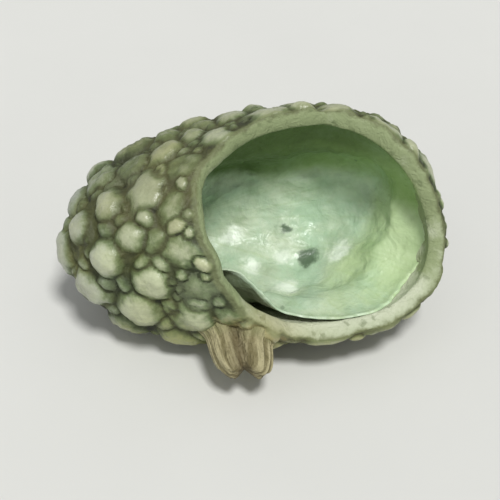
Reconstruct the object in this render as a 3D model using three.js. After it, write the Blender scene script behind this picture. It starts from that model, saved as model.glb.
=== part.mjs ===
// Green Sichuan peppercorn: one dried husk, split open and empty, lying on its side.
// Three pieces: the warty green husk, its loosened papery lining and the stub of its stalk.
// +X runs from the closed back to the open end, +Z is up, and the mouth faces right, front and up.

import * as THREE from 'three';
import { ConvexHull } from 'three/addons/math/ConvexHull.js';

// Driving dimensions: millimetres, and degrees where the name says so.
// The skin is measured between the glands, before the flat spot is pressed into it.
const SKIN_LENGTH = 4.93;
const SKIN_DEPTH = 2.87;
const SKIN_HEIGHT = 2.79;
const EGG_TAPER = 0.17; // share by which the open end is stouter than the middle
const PLUMPNESS = 2.35; // 2 is a plain egg, more is fuller between its axes
const LUMP_SHARE = 0.022; // soft unevenness of a dried skin
const REST_TILT_DEG = 7; // the closed back lies lower than the open end
const FLAT_SPOT_SINK = 0.03; // how far the skin's lowest point is pressed flat

// The pod is built level, then tipped back by REST_TILT_DEG. Degrees round the mouth are counted
// from its lower corner, plus towards the open end.
const MOUTH_AXIS = new THREE.Vector3( 0.57, - 0.74, 0.36 ).normalize();
const MOUTH_LEAN_DEG = 31; // turn of the lower corner from straight down, towards the closed back
const MOUTH_HALF_LENGTH_DEG = 59; // middle to corner, as angles from the pod's middle
const MOUTH_HALF_WIDTH_DEG = 46;
const MOUTH_WAVES = [ // the split edge runs unevenly: waves round it, their height and their start
	{ waves: 1, heightDeg: 6.4, start: 4.27 },
	{ waves: 2, heightDeg: 5.2, start: 6.25 },
	{ waves: 3, heightDeg: 3.2, start: 3.26 },
	{ waves: 11, heightDeg: 0.4, start: 0 },
];
const MOUTH_FLARE = 0.12; // and bends outwards
const MOUTH_FLARE_REACH_DEG = 16;

const HUSK_WALL = 0.36;
const HUSK_LIP = 0.22; // the wall thins towards the split edge
const LIP_REACH_DEG = 26;

const GLAND_SPACING = 0.58;
const GLAND_WIDTH_SHARE = 1.04; // of the spacing
const GLAND_RISE = 0.155;
const GLAND_LIP_SHARE = 0.4; // of that rise, beside the split edge
const GLAND_LIP_REACH_DEG = 30; // from the split edge to where they rise fully
const GLAND_SIZE_RANGE = 0.66; // between the smallest and the largest, as a share of the middle size
const GLAND_RISE_RANGE = 0.5;
const DOME_POWER = 0.75; // below 1 the domes are fuller than a parabola
const GLAND_EDGE_MARGIN_DEG = 7.5; // bare skin beside the split edge
const VALLEY_SINK = 0.035; // the skin between the glands has dried in
const VALLEY_START_DEG = 8; // and does so fully this far from the split edge
const SEAM_REACH_DEG = 22; // closed seam that runs on past the mouth's upper corner
const SEAM_MARGIN_DEG = 5.5;
const SEAM_HALF_WIDTH_DEG = 3.5;
const SEAM_SINK = 0.08;
const RANDOM_SEED = 20617;

const LINING_THICKNESS = 0.1;
const LINING_CLEARANCE = 0.05;
const LINING_SET_BACK_DEG = 3; // its edge lies this far inside the husk's edge
const LINING_SHORT_DEG = 6; // and further at the open end
const LINING_SHORT_AT_DEG = 85;
const LINING_SHORT_SPAN_DEG = 45;
const LINING_LOOSE_INSET = 0.27; // where it has come away from the husk
const LINING_LOOSE_AT_DEG = - 28;
const LINING_LOOSE_SPAN_DEG = 40;
const LINING_LOOSE_REACH_DEG = 62; // from its edge to where it lies against the husk again
const LINING_FOLDS = 4; // soft folds of the dried lining
const LINING_FOLD_DEPTH = 0.13;
const LINING_FOLD_AT_DEG = 22;
const LINING_FOLD_SPAN_DEG = 26;
const LINING_WAVE_DEG = 1.6;

const STALK_AT_DEG = 64; // from the mouth's middle
const STALK_TURN_DEG = - 12; // and this far round from its lower corner
const STALK_LENGTH = 0.74;
const STALK_WIDTH = 0.88;
const STALK_DEPTH = 0.54;
const STALK_LEAN = 0.4; // share by which it leans over towards the mouth
const STALK_CLEARANCE = 0.06;
const STALK_END_SHARE = 0.84; // its width at the end against its width at the seat
const STALK_CLEFT = 0.17; // depth of the notch between the two lobes
const STALK_CLEFT_HALF_WIDTH = 0.11;
const STALK_WAIST_SHARE = 0.42; // and it is this much thinner between the lobes
const STALK_LOBE_STEP = 0.12; // one lobe is longer than the other
const STALK_PAD_DEG = 16; // bare skin round the stalk's seat

const radians = THREE.MathUtils.degToRad;
const { lerp, smoothstep, clamp } = THREE.MathUtils;

// Frame of the mouth: towards its lower corner, and across it.
const DOWN = new THREE.Vector3( 0, 0, - 1 );
const mouthDown = DOWN.clone()
	.addScaledVector( MOUTH_AXIS, - DOWN.dot( MOUTH_AXIS ) )
	.normalize()
	.applyAxisAngle( MOUTH_AXIS, - radians( MOUTH_LEAN_DEG ) );
const mouthAcross = new THREE.Vector3().crossVectors( MOUTH_AXIS, mouthDown );

function seededRandom( seed ) {

	let state = seed;
	return () => {

		state = ( state * 1664525 + 1013904223 ) % 4294967296;
		return state / 4294967296;

	};

}

// A bell curve of a distance, 1 at nothing.
function bell( distance, span ) {

	return Math.exp( - ( ( distance / span ) ** 2 ) );

}

// The shorter way round from one turn to another.
function turnBetween( from, to ) {

	return Math.atan2( Math.sin( to - from ), Math.cos( to - from ) );

}

// Direction at an angle from the mouth's axis, turned round it from the lower corner.
function mouthDirection( angle, turn ) {

	return MOUTH_AXIS.clone().multiplyScalar( Math.cos( angle ) )
		.addScaledVector( mouthDown, Math.sin( angle ) * Math.cos( turn ) )
		.addScaledVector( mouthAcross, Math.sin( angle ) * Math.sin( turn ) );

}

function mouthAngle( direction ) {

	return Math.acos( clamp( direction.dot( MOUTH_AXIS ), - 1, 1 ) );

}

function mouthTurn( direction ) {

	return Math.atan2( direction.dot( mouthAcross ), direction.dot( mouthDown ) );

}

// The mouth's outline is a lens of two arcs that meet at its corners, a little wavy.
function mouthEdge( turn, growDegrees = 0 ) {

	const half = radians( MOUTH_HALF_LENGTH_DEG + growDegrees );
	const wide = radians( MOUTH_HALF_WIDTH_DEG + growDegrees );
	const arc = ( half * half + wide * wide ) / ( 2 * wide );
	const offset = arc - wide;
	const across = Math.sqrt( arc * arc - ( offset * Math.cos( turn ) ) ** 2 );
	const lens = across - offset * Math.abs( Math.sin( turn ) );
	return MOUTH_WAVES.reduce(
		( edge, { waves, heightDeg, start } ) => edge + radians( heightDeg ) * Math.sin( waves * turn + start ),
		lens );

}

function pastMouth( direction ) {

	return mouthAngle( direction ) - mouthEdge( mouthTurn( direction ) );

}

// Size of the pod in a direction, against its three half axes.
function swell( { x, y, z } ) {

	const powers = Math.abs( x ) ** PLUMPNESS + Math.abs( y ) ** PLUMPNESS + Math.abs( z ) ** PLUMPNESS;
	const plump = powers ** ( - 1 / PLUMPNESS );
	const lump = Math.sin( 2.6 * x + 1.1 ) * Math.cos( 3.1 * y - 0.4 ) + 0.6 * Math.sin( 4.3 * z + 2.2 * x );
	return plump * ( 1 + LUMP_SHARE * lump );

}

// Point of the egg-shaped pod in a direction, this far under the skin.
function podPoint( direction, inset = 0 ) {

	const girth = ( 1 + EGG_TAPER * direction.x ) * swell( direction );
	return new THREE.Vector3(
		direction.x * ( SKIN_LENGTH / 2 * swell( direction ) - inset ),
		direction.y * ( SKIN_DEPTH / 2 * girth - inset ),
		direction.z * ( SKIN_HEIGHT / 2 * girth - inset ) );

}

// Direction that a place on the skin belongs to, from a direction close by.
function podDirection( place, near ) {

	const taper = 1 + EGG_TAPER * near.x;
	return new THREE.Vector3(
		place.x / SKIN_LENGTH,
		place.y / SKIN_DEPTH / taper,
		place.z / SKIN_HEIGHT / taper ).normalize();

}

function podNormal( direction ) {

	return new THREE.Vector3(
		direction.x / SKIN_LENGTH,
		direction.y / SKIN_DEPTH,
		direction.z / SKIN_HEIGHT ).normalize();

}

// How far the pod bends outwards near the mouth's edge.
function flare( direction ) {

	const uneven = 1 + 0.5 * Math.sin( 2 * mouthTurn( direction ) + 0.5 );
	const past = Math.max( 0, pastMouth( direction ) );
	return MOUTH_FLARE * uneven * bell( past, radians( MOUTH_FLARE_REACH_DEG ) );

}

const stalkDirection = mouthDirection( radians( STALK_AT_DEG ), radians( STALK_TURN_DEG ) );

// Moves a gland off the split edge, the closed seam and the stalk's seat.
function offBareSkin( direction ) {

	const angle = mouthAngle( direction );
	let turn = mouthTurn( direction );
	const fromSeam = turnBetween( Math.PI, turn );
	const seamMargin = radians( SEAM_MARGIN_DEG ) / Math.sin( angle );
	const seamEnd = mouthEdge( Math.PI ) + radians( SEAM_REACH_DEG );
	const onSeam = angle < seamEnd && Math.abs( fromSeam ) < seamMargin;
	if ( onSeam ) turn = Math.PI + ( fromSeam < 0 ? - seamMargin : seamMargin );
	const least = mouthEdge( turn ) + radians( GLAND_EDGE_MARGIN_DEG );
	const moved = mouthDirection( Math.max( angle, least ), turn );
	if ( moved.angleTo( stalkDirection ) > radians( STALK_PAD_DEG ) ) return moved;
	const axis = new THREE.Vector3().crossVectors( stalkDirection, moved ).normalize();
	return stalkDirection.clone().applyAxisAngle( axis, radians( STALK_PAD_DEG ) );

}

// Places and sizes of glands on the skin: a shaken spiral, pushed apart by as much as two neighbours
// need, then kept off the bare skin.
function spreadGlands( count, random ) {

	const ROUNDS = 30;
	const OPEN_ROUNDS = 10;
	const REACH = GLAND_SPACING * 1.25;
	const PUSH = 0.22;
	const SHAKE = 0.35;
	const golden = Math.PI * ( 3 - Math.sqrt( 5 ) );
	let spread = [];
	for ( let i = 0; i < count; i ++ ) {

		const height = 1 - 2 * ( i + 0.5 ) / count;
		const ring = Math.sqrt( 1 - height * height );
		const turn = i * golden + SHAKE * ( random() - 0.5 );
		const direction = new THREE.Vector3( height, ring * Math.cos( turn ), ring * Math.sin( turn ) );
		spread.push( { direction, size: 1 + GLAND_SIZE_RANGE * ( random() - 0.5 ) } );

	}

	for ( let round = 0; round < ROUNDS; round ++ ) {

		if ( round === OPEN_ROUNDS ) spread = spread.filter( ( { direction } ) => pastMouth( direction ) > 0 );
		const placed = spread.map( ( { direction, size } ) => ( { at: podPoint( direction ), size } ) );
		spread = placed.map( ( { at, size }, i ) => {

			const push = new THREE.Vector3();
			for ( const other of placed ) {

				const reach = REACH * ( size + other.size ) / 2;
				const apart = at.clone().sub( other.at );
				const gap = apart.length();
				if ( gap > 0 && gap < reach ) push.addScaledVector( apart, ( reach - gap ) / gap );

			}

			const moved = podDirection( push.multiplyScalar( PUSH ).add( at ), spread[ i ].direction );
			return { direction: round < OPEN_ROUNDS ? moved : offBareSkin( moved ), size };

		} );

	}

	return spread;

}

function placeGlands() {

	const random = seededRandom( RANDOM_SEED );
	const meanRadius = Math.cbrt( SKIN_LENGTH * SKIN_DEPTH * SKIN_HEIGHT ) / 2;
	const skinArea = 4.3 * Math.PI * meanRadius ** 2; // a ball has 4
	const count = Math.round( skinArea / ( GLAND_SPACING ** 2 * Math.sqrt( 0.75 ) ) );
	return spreadGlands( count, random ).map( ( { direction, size } ) => {

		const fullness = smoothstep( pastMouth( direction ), 0, radians( GLAND_LIP_REACH_DEG ) );
		const share = lerp( GLAND_LIP_SHARE, 1, fullness ) * ( 1 + GLAND_RISE_RANGE * ( random() - 0.5 ) );
		return {
			direction,
			place: podPoint( direction, - flare( direction ) ),
			radius: GLAND_SPACING * GLAND_WIDTH_SHARE / 2 * size,
			rise: GLAND_RISE * Math.sqrt( size ) * share,
			turn: random() * Math.PI,
		};

	} );

}

const glands = placeGlands();

// Height over the smooth pod: domes over the glands, dried-in valleys and seam between them.
function skinRelief( direction, place ) {

	let rise = 0;
	for ( const gland of glands ) {

		const reach = place.distanceTo( gland.place ) / gland.radius;
		if ( reach < 1 ) rise = Math.max( rise, gland.rise * ( 1 - reach * reach ) ** DOME_POWER );

	}

	const seamStart = mouthEdge( Math.PI );
	const seamAngle = clamp( mouthAngle( direction ), seamStart, seamStart + radians( SEAM_REACH_DEG ) );
	const fromSeam = direction.angleTo( mouthDirection( seamAngle, Math.PI ) );
	const valley = VALLEY_SINK * smoothstep( pastMouth( direction ), 0, radians( VALLEY_START_DEG ) );
	return rise - valley - SEAM_SINK * bell( fromSeam, radians( SEAM_HALF_WIDTH_DEG ) );

}

// Turn of the whole pod about its depth, and what is straight down before that turn.
const TILT_AXIS = new THREE.Vector3( 0, - 1, 0 );
const restTilt = new THREE.Quaternion().setFromAxisAngle( TILT_AXIS, radians( REST_TILT_DEG ) );
const restDown = DOWN.clone().applyQuaternion( restTilt.clone().invert() );
const skinSize = new THREE.Vector3( SKIN_LENGTH, SKIN_DEPTH, SKIN_HEIGHT );
const lowestDirection = skinSize.multiply( restDown ).normalize();
const restDepth = podPoint( lowestDirection ).dot( restDown ) - FLAT_SPOT_SINK;

function skinPoint( direction ) {

	const place = podPoint( direction, - flare( direction ) );
	place.addScaledVector( podNormal( direction ), skinRelief( direction, place ) );
	return place.addScaledVector( restDown, Math.min( 0, restDepth - place.dot( restDown ) ) );

}

// Inner face of the husk, or a face further in. The wall thins towards the split edge.
function insidePoint( direction, inset = 0 ) {

	const thinning = smoothstep( pastMouth( direction ), 0, radians( LIP_REACH_DEG ) );
	return podPoint( direction, lerp( HUSK_LIP, HUSK_WALL, thinning ) - flare( direction ) + inset );

}

function closedSkin( points, index ) {

	const geometry = new THREE.BufferGeometry().setFromPoints( points );
	geometry.setIndex( index );
	return geometry;

}

// Triangles that join directions on the pod, as index triples that turn outwards. They are found on a
// ball that the pod is drawn onto from its middle.
function joinOnBall( directions ) {

	const onBall = directions.map( ( direction ) => podPoint( direction ).normalize() );
	const index = new Map( onBall.map( ( point, i ) => [ point, i ] ) );
	const corners = ( { edge } ) => [ edge.tail(), edge.head(), edge.next.head() ];
	return new ConvexHull().setFromPoints( onBall ).faces
		.map( ( face ) => corners( face ).map( ( corner ) => index.get( corner.point ) ) );

}

// The husk is one closed skin, meshed on a ball of directions. Those past the mouth's edge carry
// the outside, and the cap within the edge carries the lip and the inside, folded inwards.
function makeHusk() {

	const EDGE_STEPS = 108;
	const LIP_STEP_DEG = 3;
	const CREST_DEG = 1.2;
	const INSIDE_RINGS = 11;
	const INSIDE_STEPS = 40;
	const LEAST_GAP = 0.08;
	const DOME_RINGS = [ { share: 0.4, count: 6 }, { share: 0.7, count: 9 }, { share: 0.93, count: 12 } ];
	const samples = [];
	const outside = ( direction, gap = 0 ) => {

		const at = skinPoint( direction );
		if ( gap && samples.some( ( sample ) => sample.at.distanceTo( at ) < gap ) ) return;
		if ( gap && pastMouth( direction ) < radians( LIP_STEP_DEG ) ) return;
		samples.push( { on: direction.clone().normalize(), at } );

	};

	// The lip: outer edge, crest and inner edge.
	for ( let step = 0; step < EDGE_STEPS; step ++ ) {

		const turn = 2 * Math.PI * step / EDGE_STEPS;
		const edge = mouthEdge( turn );
		const rim = mouthDirection( edge, turn );
		const crest = mouthDirection( edge - radians( CREST_DEG ), turn );
		const middle = mouthDirection( edge - radians( LIP_STEP_DEG ), turn );
		const inner = mouthDirection( edge - radians( 2 * LIP_STEP_DEG ), turn );
		outside( rim );
		samples.push( { on: middle, at: podPoint( crest, HUSK_LIP / 2 - flare( rim ) ) } );
		samples.push( { on: inner, at: insidePoint( rim ) } );

	}

	// Tops of the glands, then the valleys among each three and between each two of them.
	glands.forEach( ( gland ) => outside( gland.direction, LEAST_GAP ) );
	const valleys = { three: [], two: [] };
	for ( const corners of joinOnBall( glands.map( ( gland ) => gland.direction ) ) ) {

		const [ a, b, c ] = corners.map( ( i ) => glands[ i ].direction );
		const halfway = ( [ from, to ] ) => from.clone().add( to ).normalize();
		valleys.three.push( a.clone().add( b ).add( c ).normalize() );
		valleys.two.push( ...[ [ a, b ], [ b, c ], [ c, a ] ].map( halfway ) );

	}

	valleys.three.forEach( ( direction ) => outside( direction, LEAST_GAP ) );
	valleys.two.forEach( ( direction ) => outside( direction, LEAST_GAP ) );

	// Rings of points round each gland's dome.
	for ( const { share, count } of DOME_RINGS ) {

		for ( const gland of glands ) {

			const normal = podNormal( gland.direction );
			const side = new THREE.Vector3( 0, 0, 1 ).cross( normal ).normalize();
			const front = new THREE.Vector3().crossVectors( normal, side );
			for ( let k = 0; k < count; k ++ ) {

				const turn = gland.turn + 2 * Math.PI * k / count;
				const place = gland.place.clone()
					.addScaledVector( side, Math.cos( turn ) * gland.radius * share )
					.addScaledVector( front, Math.sin( turn ) * gland.radius * share );
				outside( podDirection( place, gland.direction ), LEAST_GAP );

			}

		}

	}

	// The bare skin of the closed seam and of the stalk's seat.
	for ( let along = 4; along <= SEAM_REACH_DEG; along += 4 ) {

		const angle = mouthEdge( Math.PI ) + radians( along );
		for ( const aside of [ 0, - 4, 4 ] ) {

			outside( mouthDirection( angle, Math.PI + radians( aside ) / Math.sin( angle ) ), LEAST_GAP );

		}

	}

	for ( const ring of [ 0, 6, 12 ] ) {

		for ( let k = 0; k < 8; k ++ ) {

			const axis = mouthAcross.clone().applyAxisAngle( stalkDirection, Math.PI * k / 4 );
			outside( stalkDirection.clone().applyAxisAngle( axis, radians( ring ) ), LEAST_GAP );

		}

	}

	// The inside, ring by ring towards the closed back.
	for ( let ring = 1; ring <= INSIDE_RINGS; ring ++ ) {

		const share = ring / INSIDE_RINGS;
		const roundness = Math.sin( Math.PI * lerp( 0.4, 0.95, share ) );
		const count = ring === INSIDE_RINGS ? 1 : Math.round( INSIDE_STEPS * roundness );
		for ( let k = 0; k < count; k ++ ) {

			const turn = 2 * Math.PI * ( k + 0.5 * ( ring % 2 ) ) / count;
			const edge = mouthEdge( turn );
			const on = mouthDirection( ( edge - radians( 2 * LIP_STEP_DEG ) ) * ( 1 - share ), turn );
			samples.push( { on, at: insidePoint( mouthDirection( lerp( edge, Math.PI, share ), turn ) ) } );

		}

	}

	return closedSkin( samples.map( ( { at } ) => at ), joinOnBall( samples.map( ( { on } ) => on ) ).flat() );

}

// A closed skin of rings from a first pole to a last one. pointAt takes 0 to 1 and a turn.
function ringedSkin( rings, steps, pointAt ) {

	const points = [ pointAt( 0, 0 ) ];
	for ( let ring = 1; ring < rings; ring ++ ) {

		const share = ring / rings;
		for ( let step = 0; step < steps; step ++ ) points.push( pointAt( share, 2 * Math.PI * step / steps ) );

	}

	points.push( pointAt( 1, 0 ) );
	const last = points.length - 1;
	const index = [];
	for ( let step = 0; step < steps; step ++ ) {

		const next = ( step + 1 ) % steps;
		index.push( 0, 1 + step, 1 + next );
		index.push( last, last - steps + next, last - steps + step );
		for ( let start = 1; start + steps < last; start += steps ) {

			index.push( start + step, start + steps + step, start + steps + next );
			index.push( start + step, start + steps + next, start + next );

		}

	}

	return closedSkin( points, index );

}

// The lining's wavy edge, set back most at the open end.
function liningEdge( turn ) {

	const short = bell( turnBetween( radians( LINING_SHORT_AT_DEG ), turn ), radians( LINING_SHORT_SPAN_DEG ) );
	const wave = radians( LINING_WAVE_DEG ) * Math.sin( 7 * turn + 0.4 );
	return mouthEdge( turn, LINING_SET_BACK_DEG + LINING_SHORT_DEG * short ) + wave;

}

// How far the lining lies inside the husk: loose at one side of the mouth, softly folded elsewhere.
function liningDepth( turn, pastEdge ) {

	const loose = bell( turnBetween( radians( LINING_LOOSE_AT_DEG ), turn ), radians( LINING_LOOSE_SPAN_DEG ) );
	const nearEdge = 1 - smoothstep( pastEdge, 0, radians( LINING_LOOSE_REACH_DEG ) );
	const foldAway = bell( pastEdge - radians( LINING_FOLD_AT_DEG ), radians( LINING_FOLD_SPAN_DEG ) );
	const fold = foldAway * ( 1 + Math.sin( LINING_FOLDS * turn + 1.9 ) ) / 2;
	return LINING_CLEARANCE + LINING_LOOSE_INSET * loose * nearEdge + LINING_FOLD_DEPTH * fold * ( 1 - loose );

}

// The inner face from the back to the edge, then the outer face on the way to the back again.
function makeLining() {

	const RINGS = 26;
	return ringedSkin( RINGS, 44, ( share, turn ) => {

		const edge = liningEdge( turn );
		const angle = lerp( edge, Math.PI, Math.abs( 1 - 2 * share ) );
		const layer = clamp( ( 0.5 - share ) * RINGS + 0.5, 0, 1 );
		const inset = liningDepth( turn, angle - edge ) + LINING_THICKNESS * layer;
		return insidePoint( mouthDirection( angle, turn ), inset );

	} );

}

// The stalk spreads over its seat on the skin, then rises and ends in two rounded lobes.
function makeStalk() {

	const SEAT_SHARE = 0.28;
	const outwards = podNormal( stalkDirection );
	const across = new THREE.Vector3().crossVectors( outwards, new THREE.Vector3( 0, 0, 1 ) ).normalize();
	const along = new THREE.Vector3().crossVectors( across, outwards );
	const seatMiddle = podPoint( stalkDirection );
	const rising = outwards.clone().addScaledVector( MOUTH_AXIS, STALK_LEAN ).normalize();
	return ringedSkin( 14, 24, ( share, turn ) => {

		const seat = Math.min( 1, share / SEAT_SHARE );
		const climb = Math.max( 0, ( share - SEAT_SHARE ) / ( 1 - SEAT_SHARE ) );
		const girth = seat * lerp( 1, STALK_END_SHARE, climb ) * Math.sqrt( 1 - climb ** 6 );
		const x = Math.cos( turn ) * girth * STALK_WIDTH / 2;
		const cleft = bell( x, STALK_CLEFT_HALF_WIDTH );
		const y = Math.sin( turn ) * girth * STALK_DEPTH / 2 * ( 1 - STALK_WAIST_SHARE * cleft );
		const rise = climb * ( STALK_LENGTH - STALK_CLEFT * cleft + STALK_LOBE_STEP * x / STALK_WIDTH );
		const place = seatMiddle.clone().addScaledVector( across, x ).addScaledVector( along, y );
		const direction = podDirection( place, stalkDirection );
		return podPoint( direction, - flare( direction ) - STALK_CLEARANCE ).addScaledVector( rising, rise );

	} );

}

function piece( name, geometry, color, roughness ) {

	const material = new THREE.MeshStandardMaterial( { color, roughness, metalness: 0 } );
	const mesh = new THREE.Mesh( geometry, material );
	mesh.name = name;
	return mesh;

}

const peppercorn = new THREE.Group();
peppercorn.add( piece( 'husk', makeHusk(), 0x6b7a45, 0.6 ) );
peppercorn.add( piece( 'lining', makeLining(), 0xdfe6bf, 0.55 ) );
peppercorn.add( piece( 'stalk', makeStalk(), 0xb09a6a, 0.75 ) );

// Tipped to rest, with the origin in the middle of the surface that the husk lies on.
for ( const mesh of peppercorn.children ) mesh.geometry.applyQuaternion( restTilt );
const box = new THREE.Box3().setFromObject( peppercorn );
const middle = box.getCenter( new THREE.Vector3() );
for ( const mesh of peppercorn.children ) mesh.geometry.translate( - middle.x, - middle.y, - box.min.z );

export default peppercorn;
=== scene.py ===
"""One split green Sichuan peppercorn: warty husk, papery lining and stub of stalk, dressed in fine detail.

The forms are worked out in millimetres, with the pod level and its middle at the origin. They are then
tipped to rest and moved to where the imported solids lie.
"""

import logging
import math
from collections.abc import Callable, Iterator
from dataclasses import dataclass, field
from enum import Enum
from functools import cached_property, reduce
from typing import ClassVar

import bpy
import numpy as np
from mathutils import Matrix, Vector


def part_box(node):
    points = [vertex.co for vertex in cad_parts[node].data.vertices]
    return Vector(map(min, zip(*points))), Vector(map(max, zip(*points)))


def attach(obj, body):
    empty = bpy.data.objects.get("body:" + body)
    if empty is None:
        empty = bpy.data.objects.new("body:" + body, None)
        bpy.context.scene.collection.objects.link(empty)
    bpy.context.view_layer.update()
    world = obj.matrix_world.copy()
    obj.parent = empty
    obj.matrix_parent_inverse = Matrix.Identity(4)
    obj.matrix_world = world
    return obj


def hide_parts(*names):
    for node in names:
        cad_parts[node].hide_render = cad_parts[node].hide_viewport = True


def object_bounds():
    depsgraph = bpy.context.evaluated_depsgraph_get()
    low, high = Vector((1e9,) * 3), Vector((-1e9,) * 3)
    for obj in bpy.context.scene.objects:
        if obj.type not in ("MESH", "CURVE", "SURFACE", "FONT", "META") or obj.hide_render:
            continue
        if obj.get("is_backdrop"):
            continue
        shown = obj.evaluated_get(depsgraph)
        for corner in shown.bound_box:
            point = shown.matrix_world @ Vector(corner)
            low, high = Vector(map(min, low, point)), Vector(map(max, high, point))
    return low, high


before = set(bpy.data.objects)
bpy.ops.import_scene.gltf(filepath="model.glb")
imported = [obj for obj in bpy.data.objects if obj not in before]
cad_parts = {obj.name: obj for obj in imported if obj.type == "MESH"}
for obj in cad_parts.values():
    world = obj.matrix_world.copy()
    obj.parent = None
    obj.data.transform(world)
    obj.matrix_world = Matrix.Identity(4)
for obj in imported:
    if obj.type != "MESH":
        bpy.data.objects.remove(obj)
CAD_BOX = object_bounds()

Numbers = np.ndarray
Colour = tuple[float, float, float]
Shading = dict[str, Numbers]
Row = tuple[Numbers, Shading]
Triples = tuple[tuple[float, float, float], ...]
Socket = bpy.types.NodeSocket

METRES = 0.001
FULL_TURN = 2 * math.pi
UP = np.array((0.0, 0.0, 1.0))
log = logging.getLogger("peppercorn")


def tone(*levels: int) -> Colour:
    """Turns the red, green and blue of an sRGB colour, each 0 to 255, into linear shares."""
    shares = (level / 255 for level in levels)
    return tuple(share / 12.92 if share <= 0.04045 else ((share + 0.055) / 1.055) ** 2.4 for share in shares)


def unit(vectors: Numbers) -> Numbers:
    """The same vectors, one long."""
    return vectors / np.linalg.norm(vectors, axis=-1, keepdims=True)


def bell(distance: Numbers, span: float) -> Numbers:
    """A bell curve of a distance, 1 at nothing."""
    return np.exp(-((distance / span) ** 2))


def ease(value: Numbers, start: float, end: float) -> Numbers:
    """Rises smoothly from 0 at start to 1 at end."""
    share = np.clip((value - start) / (end - start), 0.0, 1.0)
    return share * share * (3 - 2 * share)


def grown(angle: Numbers, reach_deg: float) -> Numbers:
    """Rises smoothly from 0 to 1 over this many degrees of an angle in radians."""
    return ease(angle, 0, math.radians(reach_deg))


def faded(angle: Numbers, reach_deg: float) -> Numbers:
    """A bell curve, this many degrees wide, of an angle in radians."""
    return bell(angle, math.radians(reach_deg))


def apart(directions: Numbers, place: Numbers) -> Numbers:
    """Radians between unit vectors and one other."""
    return np.arccos(np.clip(directions @ place, -1, 1))


def way_round(turn: Numbers, start: float) -> Numbers:
    """The shorter way round from a start to a turn, in radians."""
    return np.arctan2(np.sin(turn - start), np.cos(turn - start))


def placed(name: str, data: bpy.types.ID) -> bpy.types.Object:
    """Puts a new object into the scene.

    Args:
        name: Its name.
        data: Its mesh, light or camera.

    Returns:
        The object.
    """
    thing = bpy.data.objects.new(name, data)
    bpy.context.scene.collection.objects.link(thing)
    return thing


class Unevenness:
    """Smooth seeded noise in space, between -1 and 1."""

    CELLS = 4096
    MIXERS = (73856093, 19349663, 83492791)
    ORIGIN = 101.3
    FINER = 2.03
    FAINTER = 0.5

    def __init__(self, seed: int) -> None:
        """Draws the table of heights from a seed."""
        self.heights = np.random.default_rng(seed).uniform(-1, 1, self.CELLS)

    def height_at(self, cell: Numbers) -> Numbers:
        """The height that belongs to whole-numbered cells."""
        mixed = np.bitwise_xor.reduce(cell * np.array(self.MIXERS), axis=-1)
        return self.heights[mixed & (self.CELLS - 1)]

    def at(self, places: Numbers, waves: float) -> Numbers:
        """Noise at places.

        Args:
            places: Points, in millimetres.
            waves: Cells per millimetre.

        Returns:
            One value for each point.
        """
        scaled = places * waves + self.ORIGIN
        cell = np.floor(scaled).astype(np.int64)
        part = scaled - cell
        share = part * part * part * (part * (part * 6 - 15) + 10)
        total = np.zeros(places.shape[:-1])
        for corner in np.ndindex(2, 2, 2):
            weight = np.prod(np.where(np.array(corner) == 1, share, 1 - share), axis=-1)
            total += weight * self.height_at(cell + np.array(corner))
        return total

    def layered(self, places: Numbers, waves: float, layers: int) -> Numbers:
        """Noise with finer and fainter layers on it."""
        steps = ((self.FINER**layer, self.FAINTER**layer) for layer in range(layers))
        return sum(self.at(places, waves * finer) * fainter for finer, fainter in steps)


@dataclass(frozen=True)
class Ripple:
    """One kind of unevenness: cells per millimetre, height, layers, shift in the noise, and folds or none."""

    waves: float
    height: float = 1.0
    layers: int = 2
    shift: float = 0.0
    folded: bool = False

    def over(self, noise: Unevenness, places: Numbers) -> Numbers:
        """Its height at places, drawn from a noise."""
        heights = noise.layered(places + self.shift, self.waves, self.layers)
        return self.height * (1 - np.abs(heights) * 2 if self.folded else heights)


@dataclass(frozen=True)
class Stretch:
    """A stretch of the way round the mouth: where its middle is and how far it reaches to each side."""

    middle_deg: float
    reach_deg: float

    def share(self, turn: Numbers) -> Numbers:
        """1 in its middle, less and less to both sides."""
        return faded(way_round(turn, math.radians(self.middle_deg)), self.reach_deg)


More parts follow.
